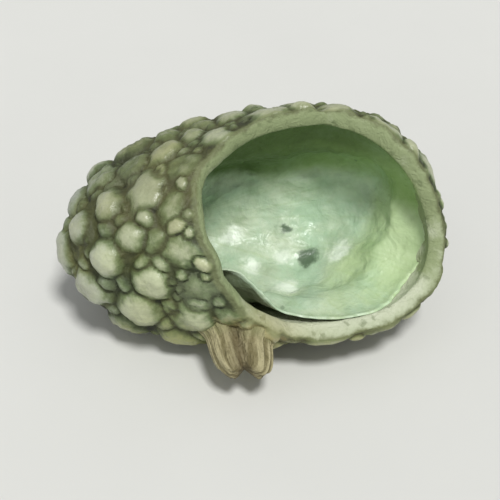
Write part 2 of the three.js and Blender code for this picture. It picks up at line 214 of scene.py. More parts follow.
@dataclass(frozen=True)
class PodForm:
    """The dried pod and its mouth, in millimetres, and degrees where a name says so.

    Turns round the mouth are counted from its lower corner, plus towards the open end.
    """

    skin_size: tuple[float, float, float] = (4.93, 2.87, 2.79)
    egg_taper: float = 0.17
    plumpness: float = 2.35
    lump_share: float = 0.022
    lump_waves: tuple[float, float, float] = (2.6, 3.1, 4.3)
    lump_starts: tuple[float, float] = (1.1, -0.4)
    upright_lump: float = 0.6
    upright_slant: float = 2.2
    rest_tilt_deg: float = 7.0
    flat_spot_sink: float = 0.03
    mouth_facing: tuple[float, float, float] = (0.57, -0.74, 0.36)
    mouth_lean_deg: float = 31.0
    mouth_half_length_deg: float = 59.0
    mouth_half_width_deg: float = 46.0
    mouth_waves: Triples = ((1, 6.4, 4.27), (2, 5.2, 6.25), (3, 3.2, 3.26), (11, 0.4, 0.0))
    mouth_flare: float = 0.12
    flare_reach_deg: float = 16.0
    flare_waves: int = 2
    flare_start: float = 0.5
    flare_range: float = 0.5
    husk_wall: float = 0.36
    husk_lip: float = 0.22
    lip_reach_deg: float = 26.0
    # Stretch of the mouth at the open end where painted daylight lightens the painted shade under the rim.
    daylight: Stretch = Stretch(112.0, 42.0)

    @cached_property
    def size(self) -> Numbers:
        """Length, depth and height as one vector."""
        return np.array(self.skin_size)

    @cached_property
    def axis(self) -> Numbers:
        """Where the mouth faces."""
        return unit(np.array(self.mouth_facing))

    @cached_property
    def down(self) -> Numbers:
        """From the middle of the mouth towards its lower corner.

        Returns:
            A unit vector.
        """
        level = unit(-UP - self.axis * (-UP @ self.axis))
        lean = math.radians(self.mouth_lean_deg)
        return level * math.cos(lean) - np.cross(self.axis, level) * math.sin(lean)

    @cached_property
    def across(self) -> Numbers:
        """From the middle of the mouth towards the open end."""
        return np.cross(self.axis, self.down)

    def mouth_direction(self, angle: Numbers, turn: Numbers) -> Numbers:
        """Directions at an angle from the mouth's axis, turned round it.

        Args:
            angle: Radians from the axis.
            turn: Radians round it, from the lower corner.

        Returns:
            Unit vectors.
        """
        angle, turn = np.broadcast_arrays(angle, turn)
        aside = np.cos(turn)[..., None] * self.down + np.sin(turn)[..., None] * self.across
        return np.cos(angle)[..., None] * self.axis + np.sin(angle)[..., None] * aside

    def mouth_angle(self, directions: Numbers) -> Numbers:
        """Radians between directions and the mouth's axis."""
        return apart(directions, self.axis)

    def mouth_turn(self, directions: Numbers) -> Numbers:
        """Radians round the mouth, from its lower corner."""
        return np.arctan2(directions @ self.across, directions @ self.down)

    def mouth_edge(self, turn: Numbers, grow_deg: Numbers | float = 0.0) -> Numbers:
        """How far the split edge lies from the mouth's axis: a lens of two arcs, a little wavy.

        Args:
            turn: Radians round the mouth.
            grow_deg: Degrees by which the lens is larger all round.

        Returns:
            Radians from the axis.
        """
        half = np.radians(self.mouth_half_length_deg + grow_deg)
        wide = np.radians(self.mouth_half_width_deg + grow_deg)
        arc = (half * half + wide * wide) / (2 * wide)
        offset = arc - wide
        edge = np.sqrt(arc * arc - (offset * np.cos(turn)) ** 2) - offset * np.abs(np.sin(turn))
        for waves, height_deg, start in self.mouth_waves:
            edge = edge + math.radians(height_deg) * np.sin(waves * turn + start)
        return edge

    def past_mouth(self, directions: Numbers) -> Numbers:
        """Radians from the split edge, plus on the skin."""
        return self.mouth_angle(directions) - self.mouth_edge(self.mouth_turn(directions))

    def swell(self, directions: Numbers) -> Numbers:
        """Size of the pod against its three half axes.

        Args:
            directions: Unit vectors.

        Returns:
            One size for each direction.
        """
        plump = np.sum(np.abs(directions) ** self.plumpness, axis=-1) ** (-1 / self.plumpness)
        x, y, z = np.moveaxis(directions, -1, 0)
        (x_waves, y_waves, z_waves), (x_start, y_start) = self.lump_waves, self.lump_starts
        level = np.sin(x_waves * x + x_start) * np.cos(y_waves * y + y_start)
        upright = self.upright_lump * np.sin(z_waves * z + self.upright_slant * x)
        return plump * (1 + self.lump_share * (level + upright))

    def tapers(self, directions: Numbers) -> Numbers:
        """How the egg's three half axes change along it."""
        taper = 1 + self.egg_taper * directions[..., 0]
        return np.stack((np.ones_like(taper), taper, taper), axis=-1)

    def point(self, directions: Numbers, inset: Numbers | float = 0.0) -> Numbers:
        """Points of the egg-shaped pod, this far under its skin."""
        reach = self.size / 2 * self.tapers(directions) * self.swell(directions)[..., None]
        return directions * (reach - np.asarray(inset)[..., None])

    def direction(self, places: Numbers, near: Numbers) -> Numbers:
        """Directions that places on the skin belong to, from directions close by."""
        return unit(places / self.size / self.tapers(near))

    def normal(self, directions: Numbers) -> Numbers:
        """Directions that point straight out of the skin."""
        return unit(directions / self.size)

    def flare(self, directions: Numbers) -> Numbers:
        """How far the pod bends outwards near the mouth.

        Args:
            directions: Unit vectors.

        Returns:
            Millimetres for each direction.
        """
        wave = np.sin(self.flare_waves * self.mouth_turn(directions) + self.flare_start)
        past = np.maximum(0, self.past_mouth(directions))
        return self.mouth_flare * (1 + self.flare_range * wave) * faded(past, self.flare_reach_deg)

    def inside(self, directions: Numbers, inset: Numbers | float = 0.0) -> Numbers:
        """Points of the husk's inner face, or further in.

        Args:
            directions: Unit vectors.
            inset: How far inside that face.

        Returns:
            One point for each direction.
        """
        thinning = grown(self.past_mouth(directions), self.lip_reach_deg)
        wall = self.husk_lip + (self.husk_wall - self.husk_lip) * thinning
        return self.point(directions, wall - self.flare(directions) + inset)

    @cached_property
    def rest_turn(self) -> Numbers:
        """Matrix that tips the level pod back to where it rests.

        Returns:
            The matrix.
        """
        tilt = math.radians(self.rest_tilt_deg)
        cosine, sine = math.cos(tilt), math.sin(tilt)
        return np.array(((cosine, 0, -sine), (0, 1, 0), (sine, 0, cosine)))

    @cached_property
    def rest_down(self) -> Numbers:
        """What is straight down before the pod is tipped."""
        return -UP @ self.rest_turn

    @cached_property
    def rest_depth(self) -> float:
        """From the pod's middle straight down to what it rests on."""
        lowest = unit(self.size * self.rest_down)
        return float(self.point(lowest) @ self.rest_down) - self.flat_spot_sink

    def pressed(self, places: Numbers) -> Numbers:
        """Places with what lies under the resting surface pressed flat onto it."""
        under = np.maximum(0, places @ self.rest_down - self.rest_depth)
        return places - under[..., None] * self.rest_down


@dataclass
class GlandField:
    """The oil glands of the skin, spread by a seeded rule, and their relief."""

    MULTIPLIER = 1664525
    INCREMENT = 1013904223
    RANGE = 4294967296

    pod: PodForm
    seed: int = 20617
    spacing: float = 0.58
    area_share: float = 4.3
    width_share: float = 1.04
    rise: float = 0.155
    lip_share: float = 0.4
    lip_reach_deg: float = 30.0
    size_range: float = 0.66
    rise_range: float = 0.5
    dome_power: float = 0.92
    edge_margin_deg: float = 7.5
    valley_sink: float = 0.035
    valley_start_deg: float = 8.0
    seam_reach_deg: float = 22.0
    seam_margin_deg: float = 5.5
    seam_half_width_deg: float = 3.5
    seam_sink: float = 0.08
    stalk_at_deg: float = 64.0
    stalk_turn_deg: float = -12.0
    stalk_pad_deg: float = 16.0
    rounds: int = 30
    open_rounds: int = 10
    reach_share: float = 1.25
    push: float = 0.22
    shake: float = 0.35
    fusing_power: float = 9.0
    crease_depth: float = 0.022
    crease_span: float = 0.035
    crease_shade: float = 0.48
    crease_share: float = 0.5
    outline_warp: Ripple = Ripple(3.2, 0.2)
    outline_reach: float = 1.5
    stretch_range: float = 0.5
    dimple_share: float = 0.45
    dimple_reach: float = 0.4
    dimple_odds: tuple[float, float] = (-1.1, 1.0)
    flute_height: float = 0.006
    flute_sway: Ripple = Ripple(5.0, 1.6, 2, 17.0)
    flute_spread: float = 9.0
    fewest_flutes: int = 3
    flute_choices: int = 5
    pimple_tries: int = 20000
    pimple_sizes: tuple[float, float] = (0.6, 1.4)
    pimple_radius: float = 0.14
    pimple_rise: float = 0.095
    pimple_gap_share: float = 0.8
    pimple_clear_share: float = 0.45
    pimple_margin_deg: float = 2.6
    pimple_reach_deg: float = 22.0
    pimple_least_chance: float = 0.01

    def __post_init__(self) -> None:
        """Places the glands and draws what differs between them."""
        self.state = self.seed
        self.directions, sizes = self.spread()
        heights = 1 + self.rise_range * (self.draws(len(sizes))[:, 0] - 0.5)
        fullness = self.fullness(self.pod.past_mouth(self.directions))
        self.radii = self.spacing * self.width_share / 2 * sizes
        self.rises = self.rise * np.sqrt(sizes) * heights * fullness
        random = np.random.default_rng(self.seed)
        self.add_pimples(random)
        count = len(self.radii)
        self.dimples = np.clip(random.uniform(*self.dimple_odds, count), 0, 1) * self.dimple_share
        self.tints = random.uniform(0, 1, count)
        self.stretches = self.stretch_range * random.uniform(-0.5, 0.5, count)
        self.spins = random.uniform(0, math.pi, count)
        self.flutes = self.fewest_flutes + random.integers(0, self.flute_choices, count)
        self.noise = Unevenness(self.seed)

    def add_pimples(self, random: np.random.Generator) -> None:
        """Adds small glands beside the others, most of them near the split edge.

        Args:
            random: The seeded source of random numbers.
        """
        tries = unit(random.normal(size=(self.pimple_tries, 3)))
        past = self.pod.past_mouth(tries)
        chance = self.pimple_least_chance + faded(past, self.pimple_reach_deg)
        wanted = (past > math.radians(self.pimple_margin_deg)) & (random.uniform(size=len(tries)) < chance)
        tries = tries[wanted]
        sizes = random.uniform(*self.pimple_sizes, len(tries))
        middles, taken, chosen = self.pod.point(self.directions), self.radii * self.pimple_clear_share, []
        for index, place in enumerate(self.pod.point(tries)):
            room = self.pimple_radius * sizes[index] * self.pimple_gap_share
            if np.all(np.linalg.norm(middles - place, axis=-1) > taken + room):
                middles, taken = np.vstack((middles, place)), np.append(taken, room)
                chosen.append(index)
        self.directions = np.concatenate((self.directions, tries[chosen]))
        self.radii = np.concatenate((self.radii, self.pimple_radius * sizes[chosen]))
        self.rises = np.concatenate((self.rises, self.pimple_rise * sizes[chosen]))

    def fullness(self, past: Numbers) -> Numbers:
        """How fully the glands rise, this many radians from the split edge."""
        return self.lip_share + (1 - self.lip_share) * grown(past, self.lip_reach_deg)

    def draw(self) -> float:
        """The next number of the seeded rule, 0 to 1."""
        self.state = (self.state * self.MULTIPLIER + self.INCREMENT) % self.RANGE
        return self.state / self.RANGE

    def draws(self, count: int) -> Numbers:
        """The next pairs of numbers of the seeded rule."""
        return np.array([(self.draw(), self.draw()) for _ in range(count)])

    @cached_property
    def sides(self) -> Numbers:
        """A level direction along the skin at each gland."""
        return unit(np.cross(UP, self.pod.normal(self.directions)))

    @cached_property
    def fronts(self) -> Numbers:
        """The direction along the skin at a right angle to sides."""
        return np.cross(self.pod.normal(self.directions), self.sides)

    @property
    def stalk_direction(self) -> Numbers:
        """Where the stalk grows from."""
        return self.pod.mouth_direction(math.radians(self.stalk_at_deg), math.radians(self.stalk_turn_deg))

    @property
    def seam_ends(self) -> tuple[float, float]:
        """Radians from the mouth's axis to its upper corner, and on to the end of the closed seam."""
        start = float(self.pod.mouth_edge(np.array(math.pi)))
        return start, start + math.radians(self.seam_reach_deg)

    def off_bare_skin(self, directions: Numbers) -> Numbers:
        """Moves glands off the split edge, the closed seam and the stalk's seat.

        Args:
            directions: Unit vectors of the glands.

        Returns:
            The moved ones.
        """
        angle = self.pod.mouth_angle(directions)
        turn = self.pod.mouth_turn(directions)
        from_seam = way_round(turn, math.pi)
        margin = math.radians(self.seam_margin_deg) / np.sin(angle)
        on_seam = (angle < self.seam_ends[1]) & (np.abs(from_seam) < margin)
        turn = np.where(on_seam, math.pi + np.where(from_seam < 0, -margin, margin), turn)
        least = self.pod.mouth_edge(turn) + math.radians(self.edge_margin_deg)
        moved = self.pod.mouth_direction(np.maximum(angle, least), turn)
        pad = math.radians(self.stalk_pad_deg)
        stalk = self.stalk_direction
        beside = np.cross(np.cross(stalk, moved), stalk)
        pushed = stalk * math.cos(pad) + unit(beside) * math.sin(pad)
        return np.where((apart(moved, stalk) <= pad)[:, None], pushed, moved)

    def spread(self) -> tuple[Numbers, Numbers]:
        """Spreads the glands: a shaken spiral, pushed apart, then kept off the bare skin.

        Returns:
            Their directions and sizes.
        """
        mean_radius = float(np.prod(self.pod.size)) ** (1 / 3) / 2
        skin_area = self.area_share * math.pi * mean_radius**2
        count = round(skin_area / (self.spacing**2 * math.sqrt(0.75)))
        order = np.arange(count)
        height = 1 - 2 * (order + 0.5) / count
        ring = np.sqrt(1 - height * height)
        drawn = self.draws(count) - 0.5
        turn = order * math.pi * (3 - math.sqrt(5)) + self.shake * drawn[:, 0]
        sizes = 1 + self.size_range * drawn[:, 1]
        directions = np.stack((height, ring * np.cos(turn), ring * np.sin(turn)), axis=-1)
        for step in range(self.rounds):
            if step == self.open_rounds:
                open_skin = self.pod.past_mouth(directions) > 0
                directions, sizes = directions[open_skin], sizes[open_skin]
            reach = self.spacing * self.reach_share * (sizes[:, None] + sizes[None]) / 2
            places = self.pod.point(directions)
            between = places[:, None] - places[None]
            gap = np.linalg.norm(between, axis=-1)
            near = (gap > 0) & (gap < reach)
            weight = np.where(near, (reach - gap) / np.where(near, gap, 1), 0)
            push = np.sum(between * weight[..., None], axis=1)
            directions = self.pod.direction(places + push * self.push, directions)
            if step >= self.open_rounds:
                directions = self.off_bare_skin(directions)
        return directions, sizes

    def dome(self, index: int, away: Numbers, warp: Numbers, sway: Numbers) -> Numbers:
        """Height of one gland over the skin round it.

        Args:
            index: Which gland.
            away: The way from its middle to each point.
            warp: How much its outline is bent at each point.
            sway: How much its flutes are bent there.

        Returns:
            One height for each point.
        """
        along, beside = away @ self.sides[index], away @ self.fronts[index]
        cosine, sine = math.cos(self.spins[index]), math.sin(self.spins[index])
        long, wide = along * cosine + beside * sine, beside * cosine - along * sine
        stretch = self.stretches[index]
        change = long**2 * ((1 - stretch) ** 2 - 1) + wide**2 * ((1 + stretch) ** 2 - 1)
        reach = np.sqrt(np.maximum(0, np.sum(away * away, axis=-1) + change)) / self.radii[index] * warp
        fall = np.clip(1 - reach * reach, 0, 1)
        dome = self.rises[index] * fall**self.dome_power
        dome = dome * (1 - self.dimples[index] * bell(reach, self.dimple_reach))
        bend = sway + self.flute_spread * self.tints[index]
        flute = np.cos(self.flutes[index] * np.arctan2(beside, along) + bend)
        return np.maximum(0, dome + self.flute_height * flute * 4 * fall * (1 - fall))

    def seam_groove(self, directions: Numbers) -> Numbers:
        """The closed seam, 1 in its middle.

        Args:
            directions: Unit vectors.

        Returns:
            One share for each direction.
        """
        angle = np.clip(self.pod.mouth_angle(directions), *self.seam_ends)
        seam = self.pod.mouth_direction(angle, np.array(math.pi))
        from_seam = np.arccos(np.clip(np.sum(directions * seam, axis=-1), -1, 1))
        return faded(from_seam, self.seam_half_width_deg)

    def relief(self, directions: Numbers, places: Numbers) -> Row:
        """Height of the skin over the smooth pod.

        Args:
            directions: Unit vectors.
            places: The smooth pod's points in those directions.

        Returns:
            The height, and the shares that the skin's colour follows.
        """
        warp = 1 + self.outline_warp.over(self.noise, places)
        sway = self.flute_sway.over(self.noise, places)
        union, highest, second = np.zeros((3, len(places)))
        tint = np.full(len(places), 0.5)
        middles = self.pod.point(self.directions, -self.pod.flare(self.directions))
        for index, middle in enumerate(middles):
            within = np.abs(places - middle) < self.radii[index] * self.outline_reach
            close = np.nonzero(np.all(within, axis=-1))[0]
            if not len(close):
                continue
            dome = self.dome(index, places[close] - middle, warp[close], sway[close])
            union[close] += dome**self.fusing_power
            rules = dome > highest[close]
            second[close] = np.maximum(second[close], np.minimum(dome, highest[close]))
            highest[close[rules]] = dome[rules]
            tint[close[rules]] = self.tints[index]
        rise = union ** (1 / self.fusing_power)
        past = self.pod.past_mouth(directions)
        valley = self.valley_sink * grown(past, self.valley_start_deg)
        usual = self.rise * self.fullness(past)
        crease = bell(highest - second, self.crease_span) * ease(second / usual, 0.0, self.crease_share)
        height = rise - valley - self.seam_sink * self.seam_groove(directions) - self.crease_depth * crease
        return height, {"gland_height": rise / usual - self.crease_shade * crease, "gland_tint": tint}


class Grown:
    """A piece with one closed skin, laid in rows of points from one pole to the other."""

    name: str
    columns: int

    @property
    def turns(self) -> Numbers:
        """Where the points of a row are on their way round."""
        return np.linspace(0, FULL_TURN, self.columns, endpoint=False)

    def rows(self) -> Iterator[Row]:
        """The rows in their order, a single point at each pole."""
        raise NotImplementedError

    @staticmethod
    def faces(counts: list[int]) -> list[tuple[int, ...]]:
        """Faces between each row and the next, with fans at the poles.

        Args:
            counts: How many points each row has.

        Returns:
            The corners of each face.
        """
        faces: list[tuple[int, ...]] = []
        start = 0
        for count, after in zip(counts, counts[1:]):
            follow = start + count
            steps = max(count, after)
            for step in range(steps):
                turn = (step + 1) % steps
                if count == 1:
                    faces.append((start, follow + step, follow + turn))
                elif after == 1:
                    faces.append((start + step, follow, start + turn))
                else:
                    faces.append((start + step, follow + step, follow + turn, start + turn))
            start = follow
        return faces

    def build(self, settle: Callable[[Numbers], Numbers]) -> bpy.types.Object:
        """Makes the object, with its shading shares as attributes.

        Args:
            settle: Takes the form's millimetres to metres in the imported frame.

        Returns:
            The new object.
        """
        points, shades = zip(*self.rows())
        mesh = bpy.data.meshes.new(self.name)
        corners = settle(np.concatenate(points)).tolist()
        mesh.from_pydata(corners, [], self.faces([len(row) for row in points]))
        mesh.polygons.foreach_set("use_smooth", np.ones(len(mesh.polygons), dtype=bool))
        for share in shades[0]:
            values = np.concatenate([shade[share] for shade in shades])
            mesh.attributes.new(share, "FLOAT", "POINT").data.foreach_set("value", values.astype(np.float32))
        mesh.update()
        return placed(self.name, mesh)


@dataclass
class Husk(Grown):
    """The warty shell: its skin, the split lip and the inner face, as one closed piece."""

    pod: PodForm
    glands: GlandField
    name: str = "warty_husk"
    columns: int = 440
    skin_rows: int = 176
    lip_rows: int = 9
    inside_rows: int = 24
    inside_spread: float = 1.6
    wrinkle: Ripple = Ripple(5.6, 0.026, folded=True)
    wrinkle_loss: float = 0.8
    grain: Ripple = Ripple(13.0, 0.008, 2, 7.7)
    lumps: Ripple = Ripple(4.6, 0.022, 2, 2.9)
    smooth_deg: float = 3.0
    crest_deg: float = 1.2
    lip_chip: Ripple = Ripple(6.5, 0.024, 3)
    lip_tear: Ripple = Ripple(21.0, 0.008, 1, 5.5)
    inside_dents: Ripple = Ripple(2.4, 0.012, 2, 3.1)
    dents_growth: float = 6.0
    edge_fade_deg: float = 2.2
    hinge_before_deg: float = 7.0
    hinge_reach_deg: float = 15.0
    pale_side: Stretch = Stretch(24.0, 58.0)
    # Heights over which the painted shade under the upper rim and the darker upper skin come in.
    ceiling: tuple[float, float] = (0.3, 1.1)
    underside: tuple[float, float] = (0.1, 1.2)
    closed_end: tuple[float, float] = (0.35, 0.95)

    def outer_skin(self, directions: Numbers) -> Row:
        """Points of the outer skin, with its glands and the wrinkles between them.

        Args:
            directions: Unit vectors.

        Returns:
            The points and their shading.
        """
        pod, noise = self.pod, self.glands.noise
        base = pod.point(directions, -pod.flare(directions))
        height, shading = self.glands.relief(directions, base)
        past = pod.past_mouth(directions)
        on_gland = np.clip(shading["gland_height"], 0, 1)
        away = grown(past, self.smooth_deg) * self.glands.fullness(past)
        height = height + self.wrinkle.over(noise, base) * (1 - self.wrinkle_loss * on_gland) * away
        height = height + self.grain.over(noise, base) + self.lumps.over(noise, base) * on_gland * away
        points = pod.pressed(base + pod.normal(directions) * height[..., None])
        return points, self.shading(directions, faded(past, self.edge_fade_deg), 0.0, shading)

    def shading(
        self, directions: Numbers, edge_near: Numbers | float, inner: float, glands: Shading
    ) -> Shading:
        """The shares that the husk's colour follows.

        Args:
            directions: Unit vectors.
            edge_near: How near they are to the split edge.
            inner: 0 on the skin, 1 on the inner face.
            glands: The glands' own shares, or nothing where there are none.

        Returns:
            The shares.
        """
        count = len(directions)
        turn = self.pod.mouth_turn(directions)
        lifted = (self.pod.point(directions) @ self.pod.rest_turn.T)[..., 2]
        hinge_angle = math.radians(self.glands.stalk_at_deg - self.hinge_before_deg)
        hinge = self.pod.mouth_direction(hinge_angle, math.radians(self.glands.stalk_turn_deg))
        return {
            "gland_height": np.zeros(count),
            "gland_tint": np.full(count, 0.5),
            **glands,
            "edge_near": np.full(count, edge_near),
            "inner": np.full(count, inner),
            "hinge": faded(apart(directions, hinge), self.hinge_reach_deg),
            "pale_rim": self.pale_side.share(turn),
            # Height share for the painted shade under the upper rim inside, and for the darker upper skin.
            "ceiling": ease(lifted, *self.ceiling),
            # Where painted daylight comes in at the open end.
            "bright_end": self.pod.daylight.share(turn),
            "closed_end": ease(-directions[..., 0], *self.closed_end),
            "underside": ease(-lifted, *self.underside),
        }

    def lip_row(self, turn: Numbers, share: float) -> Row:
        """One row of the split lip.

        Args:
            turn: Radians round the mouth.
            share: 0 at the outer edge, 1 at the inner one.

        Returns:
            The row's points and shading.
        """
        pod, noise = self.pod, self.glands.noise
        bulge = math.sin(math.pi * share)
        edge = pod.mouth_edge(turn)
        rim = pod.mouth_direction(edge, turn)
        crest = pod.mouth_direction(edge - math.radians(self.crest_deg) * bulge, turn)
        depth = pod.husk_lip * (1 - math.cos(math.pi * share)) / 2
        base = pod.point(crest, depth - pod.flare(rim))
        torn = (self.lip_chip.over(noise, base) + self.lip_tear.over(noise, base)) * bulge
        outer = self.glands.relief(rim, pod.point(rim, -pod.flare(rim)))[0] * (1 - share) ** 2
        points = base + pod.normal(crest) * (outer + torn)[..., None]
        return pod.pressed(points), self.shading(rim, 1.0, share, {})

    def inside_row(self, turn: Numbers, share: float) -> Row:
        """One row of the inner face.

        Args:
            turn: Radians round the mouth.
            share: 0 at the lip, 1 at the closed back.

        Returns:
            The row's points and shading.
        """
        edge = self.pod.mouth_edge(turn)
        directions = self.pod.mouth_direction(edge + (math.pi - edge) * share, turn)
        base = self.pod.inside(directions)
        dents = self.inside_dents.over(self.glands.noise, base) * min(1.0, share * self.dents_growth)
        points = base + self.pod.normal(directions) * dents[..., None]
        return points, self.shading(directions, 1 - share, 1.0, {})

    def rows(self) -> Iterator[Row]:
        """The rows from the back of the inside, over the lip, to the back of the skin.

        Returns:
            The points and shading of each.
        """
        turn = self.turns
        yield self.inside_row(np.zeros(1), 1.0)
        for row in range(self.inside_rows - 1, 0, -1):
            yield self.inside_row(turn, (row / self.inside_rows) ** self.inside_spread)
        for row in range(self.lip_rows, 0, -1):
            yield self.lip_row(turn, row / self.lip_rows)
        share = np.arange(self.skin_rows, 0, -1)[:, None] / self.skin_rows
        directions = self.pod.mouth_direction(math.pi + (self.pod.mouth_edge(turn) - math.pi) * share, turn)
        points, shading = self.outer_skin(directions.reshape(-1, 3))
        for start in range(0, len(points), self.columns):
            row = slice(start, start + self.columns)
            yield points[row], {name: values[row] for name, values in shading.items()}
        yield self.outer_skin(-self.pod.axis[None])


@dataclass
class Lining(Grown):
    """The thin lining, come loose from the husk beside the stalk and softly folded elsewhere."""

    pod: PodForm
    noise: Unevenness
    name: str = "papery_lining"
    columns: int = 380
    face_rows: int = 96
    edge_rows: int = 4
    solid_rings: int = 26
    solid_columns: int = 44
    thickness: float = 0.1
    edge_thickness: float = 0.035
    thinning_deg: float = 12.0
    clearance: float = 0.05
    hug_deg: float = 15.0
    hug_sink: float = 0.004
    set_back_deg: float = 3.0
    short_deg: float = 6.0
    short_side: Stretch = Stretch(85.0, 45.0)
    loose_side: Stretch = Stretch(-28.0, 40.0)
    loose_inset: float = 0.27
    loose_reach_deg: float = 62.0
    curl: float = 0.1
    curl_reach_deg: float = 34.0
    folds: int = 4
    fold_start: float = 1.9
    fold_depth: float = 0.13
    fold_at_deg: float = 22.0
    fold_span_deg: float = 26.0
    edge_waves: int = 7
    edge_wave_deg: float = 1.6
    edge_wave_start: float = 0.4
    fray: Ripple = Ripple(4.5, math.radians(1.5), 3)
    fray_radius: float = 2.2
    fray_power: int = 8
    crumple: Ripple = Ripple(1.7, 0.055, 4)
    edge_crumple: float = 0.35
    crumple_reach: float = 0.25
    crease: Ripple = Ripple(1.1, 0.0275, 2, 11.3, folded=True)
    # Heights over which the painted shade under the upper rim comes in, and how much painted daylight takes
    # off it.
    moss_and_shade_heights: tuple[float, float] = (-0.02, 0.46)
    moss_and_shade_loss: float = 0.3
    leaf_side: Stretch = Stretch(85.0, 60.0)
    under_face_shade_deg: float = 3.0
    blot_bend: Ripple = Ripple(5.0, 0.05, 2, 4.4)
    specks: Triples = ((0.6, 81.0, 0.11), (0.45, 62.0, 0.18))
    patches: Triples = ((0.18, 77.0, 0.2),)
    # Painted highlights on the lining: share from the edge, turn in degrees and radius of each.
    painted_highlights: Triples = (
        (0.53, 57.0, 0.14),
        (0.55, 38.0, 0.14),
        (0.74, 64.0, 0.16),
        (0.34, 69.0, 0.2),
        (0.34, 32.0, 0.2),
    )

    def depth(self, turn: Numbers, past: Numbers) -> Numbers:
        """How far the lining lies inside the husk's inner face.

        Args:
            turn: Radians round the mouth.
            past: Radians from the lining's edge.

        Returns:
            Millimetres.
        """
        loose = self.loose_side.share(turn)
        near_edge = 1 - grown(past, self.loose_reach_deg)
        fold_away = faded(past - math.radians(self.fold_at_deg), self.fold_span_deg)
        fold = fold_away * (1 + np.sin(self.folds * turn + self.fold_start)) / 2
        return self.clearance + self.loose_inset * loose * near_edge + self.fold_depth * fold * (1 - loose)

    def edge(self, turn: Numbers) -> Numbers:
        """The lining's wavy edge, set back most at the open end.

        Args:
            turn: Radians round the mouth.

        Returns:
            Radians from the mouth's axis.
        """
        set_back = self.set_back_deg + self.short_deg * self.short_side.share(turn)
        wave = math.radians(self.edge_wave_deg) * np.sin(self.edge_waves * turn + self.edge_wave_start)
        return self.pod.mouth_edge(turn, set_back) + wave

    def plain_point(self, turn: Numbers, share: Numbers, layer: float) -> Numbers:
        """A point of the plain lining, before its fine detail.

        Args:
            turn: Radians round the mouth.
            share: 0 at the edge, 1 at the closed back.
            layer: 0 on the face towards the husk, 1 on the open face.

        Returns:
            The points.
        """
        edge = self.edge(turn)
        angle = edge + (math.pi - edge) * share
        inset = self.depth(turn, angle - edge) + self.thickness * layer
        return self.pod.inside(self.pod.mouth_direction(angle, turn), inset)

    def solid_low(self) -> Numbers:
        """Lowest corner, tipped to rest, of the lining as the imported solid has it.

        Returns:
            The corner, in millimetres.
        """
        turn = FULL_TURN * np.arange(self.solid_columns) / self.solid_columns
        rings = []
        for ring in range(self.solid_rings + 1):
            share = ring / self.solid_rings
            layer = min(1.0, max(0.0, (0.5 - share) * self.solid_rings + 0.5))
            rings.append(self.plain_point(turn, np.array(abs(1 - 2 * share)), layer))
        return (np.concatenate(rings) @ self.pod.rest_turn.T).min(axis=0)

    def row(self, turn: Numbers, share: float, layer: float) -> Row:
        """One row of the lining with its crumples and frayed edge.

        Args:
            turn: Radians round the mouth.
            share: 0 at the edge, 1 at the closed back.
            layer: 0 on the face towards the husk, 1 on the open face.

        Returns:
            The row's points and shading.
        """
        pod = self.pod
        edge = self.edge(turn)
        fray = self.fray.over(self.noise, pod.mouth_direction(edge, turn) * self.fray_radius)
        angle = edge + fray * (1 - share) ** self.fray_power + (math.pi - edge) * share
        directions = pod.mouth_direction(angle, turn)
        past = angle - edge
        loose = self.loose_side.share(turn)
        hug = (1 - grown(past, self.hug_deg)) * (1 - loose)
        inset = (self.depth(turn, past) + self.thickness / 2) * (1 - hug) - self.hug_sink * hug
        inset = inset + self.curl * loose * (1 - grown(past, self.curl_reach_deg))
        sheet = pod.inside(directions, inset)
        full = grown(past, self.thinning_deg)
        half = (self.edge_thickness + (self.thickness - self.edge_thickness) * full) / 2
        crumpled = self.edge_crumple + (1 - self.edge_crumple) * ease(past, 0, self.crumple_reach)
        relief = self.crumple.over(self.noise, sheet) * crumpled + self.crease.over(self.noise, sheet)
        offset = half * (1 - 2 * layer) + np.minimum(relief, self.clearance)
        points = sheet + pod.normal(directions) * offset[..., None]
        lifted = (sheet @ pod.rest_turn.T)[..., 2]
        # Where painted daylight comes in at the open end.
        daylight = pod.daylight.share(turn)
        shading = {
            "from_edge": np.clip(past / (math.pi / 2), 0, 1),
            # Share of painted shade under the upper rim, less where painted daylight comes in.
            "ceiling": ease(lifted, *self.moss_and_shade_heights) * (1 - self.moss_and_shade_loss * daylight),
            "bright_end": daylight,
            "open_end": self.leaf_side.share(turn),
            "speck": self.blots(sheet, self.specks),
            "patch": self.blots(sheet, self.patches),
            "glow": self.blots(sheet, self.painted_highlights),
            # The face towards the husk, darkened as painted shade where it shows in the crack.
            "under_face": (1 - layer) * grown(past, self.under_face_shade_deg),
            "fibre_x": np.cos(turn),
            "fibre_y": np.sin(turn),
        }
        return points, shading

    def blots(self, sheet: Numbers, blots: Triples) -> Numbers:
        """Where the lining is blotted.

        Args:
            sheet: Points of the lining.
            blots: For each blot its share from the edge, its turn in degrees and its radius.

        Returns:
            A share for each point, 1 in the middle of a blot.
        """
        total = np.zeros(len(sheet))
        bent = sheet + self.blot_bend.over(self.noise, sheet)[:, None]
        for share, turn_deg, radius in blots:
            middle = self.plain_point(np.radians([turn_deg]), np.array([share]), 0.5)
            total = np.maximum(total, bell(np.linalg.norm(bent - middle, axis=-1), radius))
        return total

    def rows(self) -> Iterator[Row]:
        """The rows of the open face from the back, over the thin edge, and of the face towards the husk.

        Returns:
            The points and shading of each.
        """
        turn, back = self.turns, np.zeros(1)
        yield self.row(back, 1.0, 1.0)
        for step in range(1, self.face_rows + 1):
            yield self.row(turn, 1 - step / self.face_rows, 1.0)
        for step in range(self.edge_rows - 1, 0, -1):
            yield self.row(turn, 0.0, step / self.edge_rows)
        for step in range(self.face_rows, 0, -1):
            yield self.row(turn, 1 - step / self.face_rows, 0.0)
        yield self.row(back, 1.0, 0.0)


